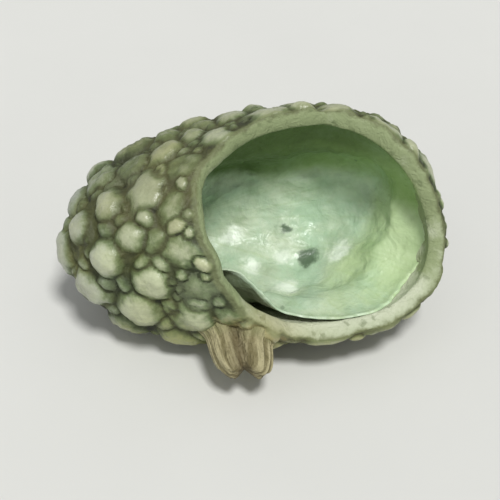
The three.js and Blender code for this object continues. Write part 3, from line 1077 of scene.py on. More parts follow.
@dataclass
class Stalk(Grown):
    """The dry stub of the stalk: a seat on the skin and two broken, fibrous lobes."""

    pod: PodForm
    glands: GlandField
    name: str = "stalk_stub"
    columns: int = 168
    ring_count: int = 84
    length: float = 0.71
    width: float = 0.88
    depth: float = 0.54
    sink: float = 0.02
    lean: float = 0.4
    end_share: float = 0.84
    end_power: int = 6
    cleft: float = 0.17
    cleft_half_width: float = 0.11
    waist_share: float = 0.42
    lobe_step: float = 0.12
    seat_share: float = 0.28
    foot_share: float = 0.24
    foot_reach: float = 0.13
    rib_height: float = 0.02
    ribs: tuple[float, float] = (12, 2.2)
    fine_ribs: tuple[float, float] = (27.6, 5.0)
    fine_rib_share: float = 0.5
    rib_sway: Ripple = Ripple(1.3)
    sway_climb: float = 0.5
    tear: Ripple = Ripple(9.0, 0.045, 3, 5.0)
    tear_start: float = 0.5

    def rib(self, turn: Numbers, climb: float) -> Numbers:
        """The fibres round one ring of the stub.

        Args:
            turn: Radians round the stub.
            climb: 0 at the seat, 1 at the broken end.

        Returns:
            Their height, 1 and the share of the fine ones at most.
        """
        ring = np.stack((np.cos(turn), np.sin(turn), np.full(len(turn), climb * self.sway_climb)), axis=-1)
        sway = self.rib_sway.over(self.glands.noise, ring)
        coarse, fine = (np.sin(count * turn + bend * sway) for count, bend in (self.ribs, self.fine_ribs))
        return coarse + self.fine_rib_share * fine

    def row(self, turn: Numbers, share: float) -> Row:
        """One ring of the stub.

        Args:
            turn: Radians round the stub.
            share: 0 at the middle of the seat, 1 at the broken end.

        Returns:
            The ring's points and shading.
        """
        pod = self.pod
        middle = self.glands.stalk_direction
        outwards = pod.normal(middle)
        across = unit(np.cross(outwards, UP))
        along = np.cross(across, outwards)
        rising = unit(outwards + pod.axis * self.lean)
        seat = min(1.0, share / self.seat_share)
        climb = max(0.0, (share - self.seat_share) / (1 - self.seat_share))
        rib = self.rib(turn, climb)
        highest_rib = 1 + self.fine_rib_share
        ribbed = 1 + self.rib_height * (rib * seat - highest_rib)
        foot = 1 + self.foot_share * bell(climb, self.foot_reach)
        rounded = math.sqrt(1 - climb**self.end_power)
        girth = seat * foot * (1 + (self.end_share - 1) * climb) * rounded * ribbed
        x = np.cos(turn) * girth * self.width / 2
        cleft = bell(x, self.cleft_half_width)
        y = np.sin(turn) * girth * self.depth / 2 * (1 - self.waist_share * cleft)
        torn = self.tear.over(self.glands.noise, np.stack((x, y, x * 0), axis=-1))
        torn = torn * ease(np.array(climb), self.tear_start, 1)
        rise = climb * (self.length - self.cleft * cleft + self.lobe_step * x / self.width) + torn
        place = pod.point(middle) + across * x[:, None] + along * y[:, None]
        directions = pod.direction(place, middle)
        points = pod.point(directions, self.sink - pod.flare(directions)) + rising * rise[:, None]
        shading = {
            "climb": np.full(len(turn), climb),
            "rib": 0.5 + rib / (2 * highest_rib),
            "cleft": cleft * seat,
            "fibre_x": np.cos(turn),
            "fibre_y": np.sin(turn),
        }
        return points, shading

    def rows(self) -> Iterator[Row]:
        """The rings from the middle of the seat to the middle of the broken end.

        Returns:
            The points and shading of each.
        """
        yield self.row(np.zeros(1), 0.0)
        for step in range(1, self.ring_count):
            yield self.row(self.turns, step / self.ring_count)
        yield self.row(np.zeros(1), 1.0)


class Effect(Enum):
    """The effects that more than one finish uses, each a shader group of its own."""

    MILLIMETRES = "place_in_millimetres"
    MOTTLE = "dry_mottle"
    WRINKLE = "fine_wrinkle"
    FLECKS = "scattered_flecks"
    FIBRES = "long_fibres"


class Laying(Enum):
    """How one colour is laid over another."""

    COVER = "MIX"
    STAIN = "MULTIPLY"


@dataclass(frozen=True)
class Ramp:
    """A smooth change from start to end, as a mask goes from low to high."""

    low: float
    high: float
    start: float = 0.0
    end: float = 1.0


@dataclass(frozen=True)
class Zone:
    """A shading share of the mesh, and how uneven a mask makes it."""

    share: str
    sway: float


@dataclass(frozen=True)
class Wash:
    """A colour to lay over others, by an even amount of its mask or by a ramp over it."""

    colour: Colour
    amount: Ramp | float = 1.0
    laying: Laying = Laying.COVER

    def tint(self, bench: "NodeBench") -> object:
        """Its colour at each place."""
        return self.colour


@dataclass(frozen=True)
class MossAndShade(Wash):
    """Moss green with painted shade under the upper rim, lighter with painted daylight where light comes in
    at the open end.
    """

    # Painted daylight: the lighter green that the painted shade turns to at the open end.
    lit: Colour = tone(118, 146, 76)
    daylight: Ramp = Ramp(0.05, 0.8)

    def tint(self, bench: "NodeBench") -> object:
        """Its colour at each place."""
        return bench.blend(bench.span(bench.share_of("bright_end"), self.daylight), self.colour, self.lit)


@dataclass
class NodeBench:
    """Places nodes in a tree and joins them."""

    tree: bpy.types.NodeTree

    def feed(self, socket: Socket, value: object) -> None:
        """Joins an output to a socket, or sets the socket's own value.

        Args:
            socket: The socket.
            value: A node's output, a number, or a colour as a tuple.
        """
        if isinstance(value, Socket):
            self.tree.links.new(value, socket)
        elif isinstance(value, tuple) and socket.type == "RGBA":
            socket.default_value = (*value, 1.0)
        else:
            socket.default_value = value

    def put(self, kind: str, inputs: dict | None = None, **settings: object) -> bpy.types.Node:
        """Adds a node.

        Args:
            kind: The node's type.
            inputs: Values or outputs of other nodes for its sockets.
            settings: The node's own settings.

        Returns:
            The new node.
        """
        node = self.tree.nodes.new(kind)
        for name, setting in settings.items():
            setattr(node, name, setting)
        for socket, value in (inputs or {}).items():
            self.feed(node.inputs[socket], value)
        return node

    def compute(self, operation: str, *values: object) -> Socket:
        """The result of one Math node."""
        return self.put("ShaderNodeMath", dict(enumerate(values)), operation=operation).outputs[0]

    def product(self, *values: object) -> Socket:
        """Several values multiplied."""
        return reduce(lambda first, second: self.compute("MULTIPLY", first, second), values)

    def wobble(self, value: object, mask: object, amount: float) -> Socket:
        """A value made uneven by a mask that lies round one half."""
        return self.compute("ADD", value, self.product(self.compute("SUBTRACT", mask, 0.5), amount))

    def span(self, mask: object, ramp: Ramp) -> Socket:
        """The values of a ramp over a mask.

        Args:
            mask: What the ramp follows.
            ramp: The ramp.

        Returns:
            The values.
        """
        ends = {"From Min": ramp.low, "From Max": ramp.high, "To Min": ramp.start, "To Max": ramp.end}
        node = self.put("ShaderNodeMapRange", {"Value": mask, **ends}, interpolation_type="SMOOTHSTEP")
        return node.outputs[0]

    def blend(self, share: object, first: object, second: object, laying: Laying = Laying.COVER) -> Socket:
        """Two colours mixed, the second one laid over the first by a share."""
        sockets = {0: share, 6: first, 7: second}
        return self.put("ShaderNodeMix", sockets, data_type="RGBA", blend_type=laying.value).outputs[2]

    def paint(self, base: object, *layers: tuple[Wash | Socket, ...]) -> Socket:
        """Lays washes over a base, one after the other.

        Args:
            base: The first colour.
            layers: Each wash with its mask, and with any further masks that limit it.

        Returns:
            The colour.
        """
        colour = base
        for wash, mask, *limits in layers:
            if isinstance(wash.amount, Ramp):
                share = self.product(self.span(mask, wash.amount), *limits)
            else:
                share = self.product(mask, *limits, wash.amount)
            colour = self.blend(share, colour, wash.tint(self), wash.laying)
        return colour

    def noise(self, place: Socket, scale: object, detail: float, **others: float) -> bpy.types.Node:
        """A noise texture at a place."""
        return self.put("ShaderNodeTexNoise", {"Vector": place, "Scale": scale, "Detail": detail, **others})

    def share_of(self, name: str) -> Socket:
        """A shading share of the mesh."""
        return self.put("ShaderNodeAttribute", attribute_name=name, attribute_type="GEOMETRY").outputs["Fac"]

    def uneven(self, zone: Zone, mask: Socket) -> Socket:
        """The share of a zone, made uneven by a mask."""
        return self.wobble(self.share_of(zone.share), mask, zone.sway)

    def effect(self, effect: Effect, **inputs: object) -> Socket:
        """The one output of a shared group, given values for its sockets by their names."""
        return self.put("ShaderNodeGroup", inputs, node_tree=EffectShelf.get(effect)).outputs[0]


class EffectGroup(NodeBench):
    """A shader group in the making, with its inputs and its one output."""

    def __init__(
        self, effect: Effect, output: str, kind: str = "NodeSocketFloat", **inputs: float | None
    ) -> None:
        """Makes the group and its sockets.

        Args:
            effect: Which effect it is.
            output: Name of what it gives out.
            kind: Kind of that socket.
            inputs: The usual value of each input, and none where it takes a place.
        """
        super().__init__(bpy.data.node_groups.new(effect.value, "ShaderNodeTree"))
        self.output = output
        for name, value in inputs.items():
            taken = "NodeSocketVector" if value is None else "NodeSocketFloat"
            socket = self.tree.interface.new_socket(name=name, in_out="INPUT", socket_type=taken)
            if value is not None:
                socket.default_value = value
        self.tree.interface.new_socket(name=output, in_out="OUTPUT", socket_type=kind)
        self.given = self.put("NodeGroupInput").outputs

    def finished(self, value: Socket) -> bpy.types.NodeTree:
        """The group, with this value as what it gives out."""
        self.put("NodeGroupOutput", {self.output: value})
        return self.tree


class EffectShelf:
    """Builds each shared shader group once and hands it out."""

    MOTTLE_DETAIL = 5.0
    MOTTLE_ROUGHNESS = 0.6
    WRINKLE_DETAIL = 3.0
    WRINKLE_BEND = 0.6
    WRINKLE_SHARPNESS = 3.0
    WRINKLE_PART = 0.65
    GRAIN_DETAIL = 2.0
    GRAIN_PART = 0.35
    FLECK_BENDS = 7.0
    FLECK_BEND_DETAIL = 3.0
    FLECK_BEND = 0.2
    FLECK_EDGE = Ramp(0.0, 0.5)
    FIBRE_DETAIL = 4.0

    made: dict[Effect, bpy.types.NodeTree] = {}

    @classmethod
    def get(cls, effect: Effect) -> bpy.types.NodeTree:
        """The group of an effect, built at its first use.

        Args:
            effect: Which effect.

        Returns:
            Its group.
        """
        makers = {
            Effect.MILLIMETRES: cls.millimetres,
            Effect.MOTTLE: cls.mottle,
            Effect.WRINKLE: cls.wrinkle,
            Effect.FLECKS: cls.flecks,
            Effect.FIBRES: cls.fibres,
        }
        if effect not in cls.made:
            cls.made[effect] = makers[effect]()
        return cls.made[effect]

    @staticmethod
    def millimetres() -> bpy.types.NodeTree:
        """The place on the object in millimetres.

        Returns:
            The group.
        """
        group = EffectGroup(Effect.MILLIMETRES, "Place", "NodeSocketVector")
        inputs = {0: group.put("ShaderNodeTexCoord").outputs["Object"], "Scale": 1 / METRES}
        return group.finished(group.put("ShaderNodeVectorMath", inputs, operation="SCALE").outputs[0])

    @classmethod
    def mottle(cls) -> bpy.types.NodeTree:
        """Soft blotches of a dried skin, 0 to 1.

        Returns:
            The group.
        """
        group = EffectGroup(Effect.MOTTLE, "Mask", Place=None, Blotches=1.0, Contrast=3.0, Cover=0.5)
        place, blotches = group.given["Place"], group.given["Blotches"]
        noise = group.noise(place, blotches, cls.MOTTLE_DETAIL, Roughness=cls.MOTTLE_ROUGHNESS).outputs[0]
        centred = group.compute("ADD", group.compute("SUBTRACT", noise, 1.0), group.given["Cover"])
        strong = group.product(centred, group.given["Contrast"])
        mask = group.put("ShaderNodeMath", {0: strong, 1: 0.5}, operation="ADD", use_clamp=True)
        return group.finished(mask.outputs[0])

    @classmethod
    def wrinkle(cls) -> bpy.types.NodeTree:
        """Fine dried wrinkles and grain, as a height from 0 to 1.

        Returns:
            The group.
        """
        group = EffectGroup(Effect.WRINKLE, "Height", Place=None, Wrinkles=10.0, Grain=40.0)
        place = group.given["Place"]
        bent = group.noise(place, group.given["Wrinkles"], cls.WRINKLE_DETAIL, Distortion=cls.WRINKLE_BEND)
        crease = group.compute("ABSOLUTE", group.compute("SUBTRACT", bent.outputs[0], 0.5))
        ridge = group.compute("SUBTRACT", 1.0, group.product(crease, cls.WRINKLE_SHARPNESS))
        grain = group.noise(place, group.given["Grain"], cls.GRAIN_DETAIL).outputs[0]
        parts = group.product(ridge, cls.WRINKLE_PART), group.product(grain, cls.GRAIN_PART)
        return group.finished(group.compute("ADD", *parts))

    @classmethod
    def flecks(cls) -> bpy.types.NodeTree:
        """Scattered small flecks with uneven outlines, 1 in a fleck.

        Returns:
            The group.
        """
        group = EffectGroup(Effect.FLECKS, "Mask", Place=None, Flecks=2.0, Size=0.16, Share=0.3)
        place, size = group.given["Place"], group.given["Size"]
        bent = group.noise(place, cls.FLECK_BENDS, cls.FLECK_BEND_DETAIL).outputs["Color"]
        scaled = {0: bent, "Scale": cls.FLECK_BEND}
        shift = group.put("ShaderNodeVectorMath", scaled, operation="SCALE").outputs[0]
        moved = group.put("ShaderNodeVectorMath", {0: place, 1: shift}, operation="ADD").outputs[0]
        cells = group.put("ShaderNodeTexVoronoi", {"Vector": moved, "Scale": group.given["Flecks"]})
        inside = group.compute("SUBTRACT", size, cells.outputs["Distance"])
        spot = group.span(group.compute("DIVIDE", inside, size), cls.FLECK_EDGE)
        draw = group.put("ShaderNodeSeparateColor", {0: cells.outputs["Color"]}).outputs[0]
        return group.finished(group.product(spot, group.compute("LESS_THAN", draw, group.given["Share"])))

    @classmethod
    def fibres(cls) -> bpy.types.NodeTree:
        """Long fibres that run along a piece, as a mask that lies round one half.

        Returns:
            The group.
        """
        group = EffectGroup(Effect.FIBRES, "Mask", Side=0.0, Front=0.0, Along=0.0, Fibres=16.0)
        sockets = {"X": group.given["Side"], "Y": group.given["Front"], "Z": group.given["Along"]}
        place = group.put("ShaderNodeCombineXYZ", sockets).outputs[0]
        return group.finished(group.noise(place, group.given["Fibres"], cls.FIBRE_DETAIL).outputs[0])


class Surface(NodeBench):
    """A material with one plain surface shader, and the means to feed it."""

    def __init__(self, name: str) -> None:
        """Makes the material and its shader.

        Args:
            name: The material's name.
        """
        self.material = bpy.data.materials.new(name)
        self.material.use_nodes = True
        super().__init__(self.material.node_tree)
        self.tree.nodes.clear()
        self.shader = self.put("ShaderNodeBsdfPrincipled")
        self.put("ShaderNodeOutputMaterial", {"Surface": self.shader.outputs[0]})
        self.place = self.effect(Effect.MILLIMETRES)

    def fibres(self, along: object, count: float) -> Socket:
        """Fibres that run the way in which a value grows along the piece, so many side by side."""
        side, front = (self.share_of(name) for name in ("fibre_x", "fibre_y"))
        return self.effect(Effect.FIBRES, Side=side, Front=front, Along=along, Fibres=count)

    def set(self, **values: object) -> None:
        """Feeds the shader's sockets, with _ for a space in a name."""
        for name, value in values.items():
            self.feed(self.shader.inputs[name.replace("_", " ")], value)

    def dress(self, piece: bpy.types.Object) -> None:
        """Gives a piece this surface."""
        piece.data.materials.append(self.material)


@dataclass(frozen=True)
class Mottle:
    """Blotches: how many to a millimetre, how hard their edges are, and over one half for more of them."""

    blotches: float
    contrast: float
    cover: float = 0.5

    def on(self, coat: Surface) -> Socket:
        """Where they are on a surface."""
        inputs = {"Blotches": self.blotches, "Contrast": self.contrast, "Cover": self.cover}
        return coat.effect(Effect.MOTTLE, Place=coat.place, **inputs)


@dataclass(frozen=True)
class Flecks:
    """Flecks: places for one to a millimetre, size against the gap, and the share of places that has one."""

    places: float
    size: float
    share: float

    def on(self, coat: Surface) -> Socket:
        """Where they are on a surface."""
        inputs = {"Flecks": self.places, "Size": self.size, "Share": self.share}
        return coat.effect(Effect.FLECKS, Place=coat.place, **inputs)


@dataclass(frozen=True)
class Relief:
    """Fine relief: its wrinkles and its grains to a millimetre, and its depth in millimetres."""

    wrinkles: float
    grain: float
    depth: float

    def on(self, coat: Surface, strength: object = 1.0, more: object = 0.0) -> Socket:
        """The normals of a surface with this relief.

        Args:
            coat: The surface.
            strength: How much of it shows, 0 to 1.
            more: A further height that is added to it.

        Returns:
            The normals.
        """
        height = coat.effect(Effect.WRINKLE, Place=coat.place, Wrinkles=self.wrinkles, Grain=self.grain)
        height = coat.compute("ADD", height, more)
        inputs = {"Strength": strength, "Distance": self.depth * METRES, "Height": height}
        return coat.put("ShaderNodeBump", inputs).outputs[0]


@dataclass(frozen=True)
class HuskFinish:
    """Dried green skin: dark between the glands with painted shade, waxy grey-green on them with painted
    highlights on top, pale where it split, painted shade under the upper rim inside.
    """

    brown: ClassVar[Colour] = tone(80, 74, 54)
    tan: ClassVar[Colour] = tone(160, 150, 104)
    lip_green: ClassVar[Colour] = tone(138, 150, 108)
    gland_zone: Zone = Zone("gland_height", 0.32)
    waxy_zone: Zone = Zone("gland_height", 0.4)
    closed_zone: Zone = Zone("closed_end", 0.4)
    under_zone: Zone = Zone("underside", 0.3)
    hinge_zone: Zone = Zone("hinge", 0.5)
    edge_zone: Zone = Zone("edge_near", 0.4)
    pale_zone: Zone = Zone("pale_rim", 0.9)
    layer_zone: Zone = Zone("inner", 0.5)
    inner_zone: Zone = Zone("inner", 0.22)
    speckle: Mottle = Mottle(9.0, 2.2)
    fine: Mottle = Mottle(26.0, 2.0)
    # The colour rises with gland height from valley to top: the glands' own paler colour, with painted shade
    # in the valleys and painted highlights on the tops.
    valley: Colour = tone(48, 57, 28)
    flank: Wash = Wash(tone(110, 128, 84), Ramp(0.12, 0.78))
    gland_top: Wash = Wash(tone(194, 200, 166), Ramp(0.55, 1.1))
    on_top: Ramp = Ramp(0.3, 1.0)
    grey_green: Wash = Wash(tone(128, 138, 106), Ramp(0.6, 0.95, 0.0, 0.4))
    straw: Wash = Wash(tone(182, 181, 130), Ramp(0.0, 0.3, 0.4, 0.0))
    # Darker and yellower towards the underside.
    yellow_darkening_below: Wash = Wash(tone(194, 190, 110), Ramp(0.05, 0.85, 0.0, 0.675), Laying.STAIN)
    # Painted sheen: lilac-grey on the gland tops at the closed end.
    lilac_grey_sheen: Wash = Wash(tone(167, 171, 172), Ramp(0.2, 1.0, 0.0, 0.55))
    olive: Wash = Wash(tone(150, 146, 84), 0.3)
    olive_patches: Mottle = Mottle(0.7, 4.0, 0.47)
    bruise: Wash = Wash(brown, 0.4)
    bruises: Mottle = Mottle(1.2, 5.0, 0.36)
    bruised_below: Ramp = Ramp(0.1, 0.9, 1.0, 0.25)
    # Dark flecks in the valleys: partly dark skin, partly painted shade in the deepest crevices.
    pit_and_shade: Wash = Wash(tone(32, 36, 20), 0.8)
    pit_and_shade_flecks: Flecks = Flecks(4.5, 0.3, 0.55)
    pit_and_shade_below: Ramp = Ramp(0.1, 0.6, 1.0, 0.0)
    # Darker brown over the upper skin, most towards the closed end.
    upper_darkening: Wash = Wash(brown, 0.32)
    upper_darkening_from: Ramp = Ramp(-0.6, 0.4)
    dusk: Wash = Wash(tone(192, 200, 188), 0.4, Laying.STAIN)
    hinge: Wash = Wash(tan, Ramp(0.3, 0.95, 0.0, 0.8))
    torn_edge: Wash = Wash(tone(122, 130, 88), Ramp(0.55, 1.0, 0.0, 0.6))
    flesh_from: Ramp = Ramp(0.06, 0.34)
    lip: Wash = Wash(tone(201, 206, 181), Ramp(0.15, 0.85))
    lip_clouds: Mottle = Mottle(2.2, 2.5)
    lip_layers: Ramp = Ramp(0.2, 0.75, 0.5, 1.0)
    lip_shade: Wash = Wash(lip_green, 0.35)
    lip_fleck: Wash = Wash(tone(96, 108, 70), 0.5)
    lip_flecks: Flecks = Flecks(6.0, 0.34, 0.5)
    lip_hinge: Wash = Wash(tan, 0.6)
    inner_face: Wash = Wash(tone(150, 166, 112), Ramp(0.3, 0.9, 1.0, 0.0))
    # Moss green with painted shade under the upper rim on the inner face, lighter with painted daylight at
    # the open end.
    moss_and_shade: MossAndShade = MossAndShade(tone(68, 92, 28), 0.9)
    moss_and_shade_from: Ramp = Ramp(0.7, 1.0)
    roughness: Ramp = Ramp(0.3, 0.9, 0.64, 0.35)
    relief: Relief = Relief(7.0, 34.0, 0.022)
    relief_strength: Ramp = Ramp(0.2, 1.0, 1.0, 0.6)

    def skin(self, coat: Surface, speckle: Socket, fine: Socket) -> Socket:
        """Colour of the outer skin.

        Args:
            coat: The husk's surface.
            speckle: Its fine blotches.
            fine: Its finest blotches.

        Returns:
            The colour.
        """
        height = coat.share_of("gland_height")
        uneven = coat.uneven(self.gland_zone, speckle)
        on_top = coat.span(uneven, self.on_top)
        tint = coat.share_of("gland_tint")
        closed = coat.uneven(self.closed_zone, speckle)
        return coat.paint(
            self.valley,
            # Painted shade in the valleys and painted highlights on the tops, over the glands' own paler
            # colour.
            (self.flank, uneven),
            (self.gland_top, uneven),
            (self.grey_green, tint),
            (self.straw, tint, on_top),
            (self.yellow_darkening_below, coat.uneven(self.under_zone, speckle)),
            (self.lilac_grey_sheen, closed, on_top),
            (self.olive, self.olive_patches.on(coat)),
            (self.bruise, self.bruises.on(coat), coat.span(height, self.bruised_below)),
            (self.pit_and_shade, self.pit_and_shade_flecks.on(coat), coat.span(height, self.pit_and_shade_below)),
            (self.upper_darkening, coat.share_of("ceiling"), coat.span(closed, self.upper_darkening_from)),
            (self.dusk, fine),
            (self.hinge, coat.uneven(self.hinge_zone, speckle)),
            (self.torn_edge, coat.uneven(self.edge_zone, speckle)),
        )

    def flesh(self, coat: Surface, fine: Socket) -> Socket:
        """Colour of the lip and the inner face.

        Args:
            coat: The husk's surface.
            fine: Its finest blotches.

        Returns:
            The colour.
        """
        pale = coat.uneven(self.pale_zone, self.lip_clouds.on(coat))
        layers = coat.span(coat.uneven(self.layer_zone, fine), self.lip_layers)
        return coat.paint(
            self.lip_green,
            (self.lip, pale, layers),
            (self.lip_shade, fine),
            (self.lip_fleck, self.lip_flecks.on(coat)),
            (self.lip_hinge, coat.share_of("hinge")),
            (self.inner_face, coat.share_of("edge_near")),
            (self.moss_and_shade, coat.share_of("ceiling"), coat.span(coat.share_of("inner"), self.moss_and_shade_from)),
        )

    def make(self) -> Surface:
        """Builds the surface.

        Returns:
            The surface.
        """
        coat = Surface("husk_skin")
        speckle, fine = self.speckle.on(coat), self.fine.on(coat)
        within = coat.span(coat.uneven(self.inner_zone, speckle), self.flesh_from)
        colour = coat.blend(within, self.skin(coat, speckle, fine), self.flesh(coat, fine))
        waxy = coat.uneven(self.waxy_zone, speckle)
        normal = self.relief.on(coat, coat.span(waxy, self.relief_strength))
        coat.set(Base_Color=colour, Roughness=coat.span(waxy, self.roughness), Normal=normal)
        return coat


@dataclass(frozen=True)
class LiningFinish:
    """Papery lining: mint and cream, yellow-green at the open end, moss green with painted shade under the
    upper rim.
    """

    dark: ClassVar[Colour] = tone(76, 96, 72)
    moss_and_shade_zone: Zone = Zone("ceiling", 0.3)
    patch_zone: Zone = Zone("patch", 0.3)
    painted_highlight_zone: Zone = Zone("glow", 0.5)
    speck_zone: Zone = Zone("speck", 0.35)
    under_zone: Zone = Zone("under_face", 0.3)
    cloud: Mottle = Mottle(1.6, 3.4)
    fine: Mottle = Mottle(13.0, 2.0)
    mint: Colour = tone(174, 199, 170)
    cream: Wash = Wash(tone(204, 215, 190))
    sage: Wash = Wash(tone(140, 166, 128), 0.55)
    sage_patches: Mottle = Mottle(3.0, 4.0, 0.42)
    leaf: Wash = Wash(tone(181, 203, 149), Ramp(0.2, 0.9, 0.0, 0.75))
    leaf_near_edge: Ramp = Ramp(0.2, 0.75, 1.0, 0.0)
    leaf_sway: float = 0.35
    leaf_shade: Wash = Wash(tone(152, 180, 128), Ramp(0.3, 0.9, 0.0, 0.6))
    # Painted highlights: near-white spots on the lining.
    glow: Wash = Wash(tone(234, 243, 228), Ramp(0.2, 0.9, 0.0, 0.9))
    # Moss green with painted shade under the upper rim.
    moss_and_shade: MossAndShade = MossAndShade(tone(68, 96, 26), Ramp(0.05, 0.95, 0.0, 0.95), lit=tone(130, 162, 92))
    vein: Wash = Wash(tone(206, 216, 176), laying=Laying.STAIN)
    vein_lines: Ramp = Ramp(0.5, 0.72, 0.0, 0.5)
    vein_length: float = 0.12
    vein_count: float = 16.0
    vein_least: float = 0.1
    vein_breaks: float = 0.6
    fine_stain: float = 0.14
    speck: Wash = Wash(dark, Ramp(0.28, 0.75, 0.0, 0.9))
    fleck: Wash = Wash(dark, 0.45)
    flecks: Flecks = Flecks(2.1, 0.1, 0.25)
    # Painted shade on the face towards the husk, where it shows in the crack under the loose edge.
    under_face: Wash = Wash(tone(92, 102, 70), Ramp(0.6, 1.0, 0.0, 0.85))
    roughness: Ramp = Ramp(0.0, 1.0, 0.34, 0.5)
    moss_and_shade_roughness: float = 0.3
    relief: Relief = Relief(3.2, 18.0, 0.022)

    def make(self) -> Surface:
        """Builds the surface.

        Returns:
            The surface.
        """
        coat = Surface("papery_lining")
        cloud, fine = self.cloud.on(coat), self.fine.on(coat)
        from_edge = coat.share_of("from_edge")
        near_edge = coat.span(from_edge, self.leaf_near_edge)
        open_end = coat.wobble(coat.product(coat.share_of("open_end"), near_edge), cloud, self.leaf_sway)
        ceiling = coat.uneven(self.moss_and_shade_zone, cloud)
        fibres = coat.fibres(coat.product(from_edge, self.vein_length), self.vein_count)
        broken = coat.compute("ADD", coat.product(fine, self.vein_breaks), self.vein_least)
        vein = coat.product(coat.span(fibres, self.vein_lines), broken)
        colour = coat.paint(
            self.mint,
            (self.cream, cloud),
            (self.sage, self.sage_patches.on(coat)),
            (self.leaf, open_end),
            (self.leaf_shade, coat.uneven(self.patch_zone, fine)),
            (self.glow, coat.uneven(self.painted_highlight_zone, fine)),
            (self.moss_and_shade, ceiling),
            (self.vein, coat.compute("ADD", vein, coat.product(fine, self.fine_stain))),
            (self.speck, coat.uneven(self.speck_zone, fine)),
            (self.fleck, self.flecks.on(coat)),
            (self.under_face, coat.uneven(self.under_zone, fine)),
        )
        dull = coat.span(fine, self.roughness)
        roughness = coat.compute("ADD", coat.product(ceiling, self.moss_and_shade_roughness), dull)
        coat.set(Base_Color=colour, Roughness=roughness, Normal=self.relief.on(coat))
        return coat


@dataclass(frozen=True)
class StalkFinish:
    """Dry tan stub with darker grooves, a brown broken end and painted shade in the cleft between its lobes.
    """

    brown: ClassVar[Colour] = tone(88, 76, 48)
    rib_zone: Zone = Zone("rib", 0.4)
    climb_zone: Zone = Zone("climb", 0.2)
    mottle: Mottle = Mottle(8.0, 2.4)
    groove: Colour = tone(116, 108, 72)
    ridge: Wash = Wash(tone(172, 164, 126), Ramp(0.0, 1.0))
    green_foot: Wash = Wash(tone(128, 130, 86), Ramp(0.0, 0.3, 0.6, 0.0))
    broken_end: Wash = Wash(brown, Ramp(0.84, 1.0, 0.0, 0.3))
    # Painted shade: the cleft between the two lobes darkened with brown.
    cleft_shade: Wash = Wash(brown, 0.7)
    fibre_length: float = 0.3
    fibre_count: float = 7.0
    fibre_contrast: float = 2.6
    fibre_height: float = 2.0
    roughness: Ramp = Ramp(0.0, 1.0, 0.62, 0.85)
    relief: Relief = Relief(9.0, 40.0, 0.03)

    def make(self) -> Surface:
        """Builds the surface.

        Returns:
            The surface.
        """
        coat = Surface("dry_stalk")
        mottle = self.mottle.on(coat)
        fibres = coat.fibres(coat.product(coat.share_of("climb"), self.fibre_length), self.fibre_count)
        rib = coat.wobble(coat.uneven(self.rib_zone, mottle), fibres, self.fibre_contrast)
        climb = coat.uneven(self.climb_zone, mottle)
        colour = coat.paint(
            self.groove,
            (self.ridge, rib),
            (self.green_foot, climb),
            (self.broken_end, climb),
            (self.cleft_shade, coat.share_of("cleft")),
        )
        normal = self.relief.on(coat, more=coat.product(fibres, self.fibre_height))
        coat.set(Base_Color=colour, Roughness=coat.span(mottle, self.roughness), Normal=normal)
        return coat


@dataclass(frozen=True)
class FloorFinish:
    """Plain pale matt floor."""

    pale: Colour = tone(214, 214, 209)
    shade: Wash = Wash(tone(207, 207, 202))
    patches: Mottle = Mottle(0.2, 1.2)
    roughness: float = 0.9

    def make(self) -> Surface:
        """Builds the surface.

        Returns:
            The surface.
        """
        coat = Surface("pale_floor")
        colour = coat.paint(self.pale, (self.shade, self.patches.on(coat)))
        coat.set(Base_Color=colour, Roughness=self.roughness)
        return coat


@dataclass(frozen=True)
class Sun:
    """One soft far light: its strength, how wide it looks from the floor, and where it comes from."""

    name: str
    strength: float
    angle_deg: float
    source: tuple[float, float, float]

    def shine(self) -> None:
        """Adds the light to the scene."""
        light = bpy.data.lights.new(self.name, "SUN")
        light.energy = self.strength
        light.angle = math.radians(self.angle_deg)
        lamp = placed(self.name, light)
        lamp.rotation_mode = "QUATERNION"
        lamp.rotation_quaternion = Vector(self.source).to_track_quat("Z", "Y")


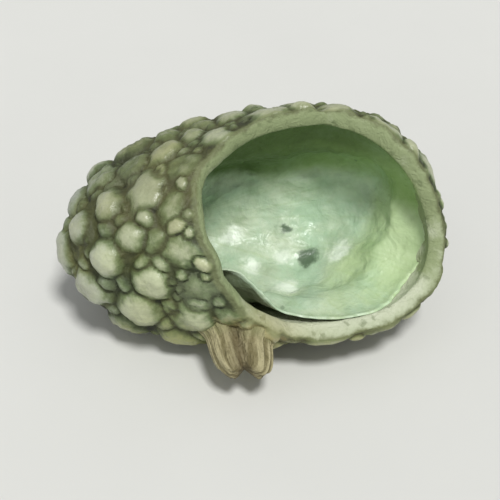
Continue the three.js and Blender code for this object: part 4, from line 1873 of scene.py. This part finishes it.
@dataclass
class Studio:
    """Plain floor, soft daylight from above and the camera at the photograph's angle."""

    elevation_deg: float = 40.0
    lens: float = 90.0
    sensor: float = 36.0
    frame_width: float = 6.6
    look_at: tuple[float, float, float] = (0.0, 0.0, 1.2)
    nearest_share: float = 0.05
    farthest: float = 10000.0
    floor_radius: float = 400.0
    floor_corners: int = 64
    key: Sun = Sun("key", 2.7, 12.0, (0.16, -0.42, 0.88))
    fill: Sun = Sun("fill", 0.3, 60.0, (-0.7, -0.8, 0.7))
    sky_strength: float = 0.36
    sky: Colour = (0.96, 0.98, 1.0)

    def lay_floor(self) -> None:
        """Lays the floor and marks it as no part of the object."""
        turn = np.linspace(0, FULL_TURN, self.floor_corners, endpoint=False)
        ring = np.stack((np.cos(turn), np.sin(turn), turn * 0), axis=-1) * self.floor_radius * METRES
        mesh = bpy.data.meshes.new("floor")
        mesh.from_pydata(ring.tolist(), [], [tuple(range(self.floor_corners))])
        floor = placed("floor", mesh)
        FloorFinish().make().dress(floor)
        floor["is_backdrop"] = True

    def add_sky(self) -> None:
        """Lights the scene evenly from all round."""
        world = bpy.data.worlds.new("pale_room")
        bpy.context.scene.world = world
        world.use_nodes = True
        back = world.node_tree.nodes["Background"]
        back.inputs["Color"].default_value = (*self.sky, 1.0)
        back.inputs["Strength"].default_value = self.sky_strength

    def add_camera(self) -> None:
        """Adds the camera, in front of the object and above it."""
        data = bpy.data.cameras.new("camera")
        data.lens = self.lens
        data.sensor_width = self.sensor
        distance = self.frame_width / self.sensor * self.lens
        data.clip_start = distance * METRES * self.nearest_share
        data.clip_end = self.farthest * METRES
        tilt = math.radians(self.elevation_deg)
        back = Vector((0.0, -math.cos(tilt), math.sin(tilt)))
        camera = placed("camera", data)
        camera.location = (Vector(self.look_at) + back * distance) * METRES
        camera.rotation_mode = "QUATERNION"
        camera.rotation_quaternion = (-back).to_track_quat("-Z", "Y")
        bpy.context.scene.camera = camera

    def build(self) -> None:
        """Sets up the whole studio."""
        self.lay_floor()
        self.key.shine()
        self.fill.shine()
        self.add_sky()
        self.add_camera()
        bpy.context.scene.view_settings.view_transform = "Standard"


@dataclass
class Peppercorn:
    """The whole object: its form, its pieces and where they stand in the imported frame."""

    pod: PodForm = field(default_factory=PodForm)

    def __post_init__(self) -> None:
        """Spreads the glands and makes ready the three pieces."""
        self.glands = GlandField(self.pod)
        self.husk = Husk(self.pod, self.glands)
        self.lining = Lining(self.pod, self.glands.noise)
        self.stalk = Stalk(self.pod, self.glands)

    @cached_property
    def shift(self) -> Numbers:
        """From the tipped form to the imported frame.

        Returns:
            The way, in millimetres.
        """
        packed_low = np.array(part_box("lining")[0]) / METRES
        shift = packed_low - self.lining.solid_low()
        shift[2] = self.pod.rest_depth
        return shift

    def settle(self, points: Numbers) -> Numbers:
        """Points of the level form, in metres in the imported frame."""
        return (points @ self.pod.rest_turn.T + self.shift) * METRES

    def build(self) -> None:
        """Builds, dresses and places the three pieces."""
        work = (
            (self.husk, "husk", HuskFinish(), "husk_skin"),
            (self.lining, "lining", LiningFinish(), "papery_lining"),
            (self.stalk, "stalk", StalkFinish(), "dry_stalk"),
        )
        for maker, node, finish, slot in work:
            piece = maker.build(self.settle)
            finish.make().dress(piece)
            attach(piece, "root")
            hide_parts(node)
            log.info("%s: %d faces", piece.name, len(piece.data.polygons))


def write_sizes() -> None:
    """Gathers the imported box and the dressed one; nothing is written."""
    boxes = {"cad": CAD_BOX, "visual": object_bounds()}
    {name: [list(corner) for corner in box] for name, box in boxes.items()}


def main() -> None:
    """Builds the peppercorn and its studio."""
    logging.basicConfig(level=logging.INFO, format="%(name)s: %(message)s")
    Peppercorn().build()
    Studio().build()
    write_sizes()


if __name__ == "__main__":
    main()
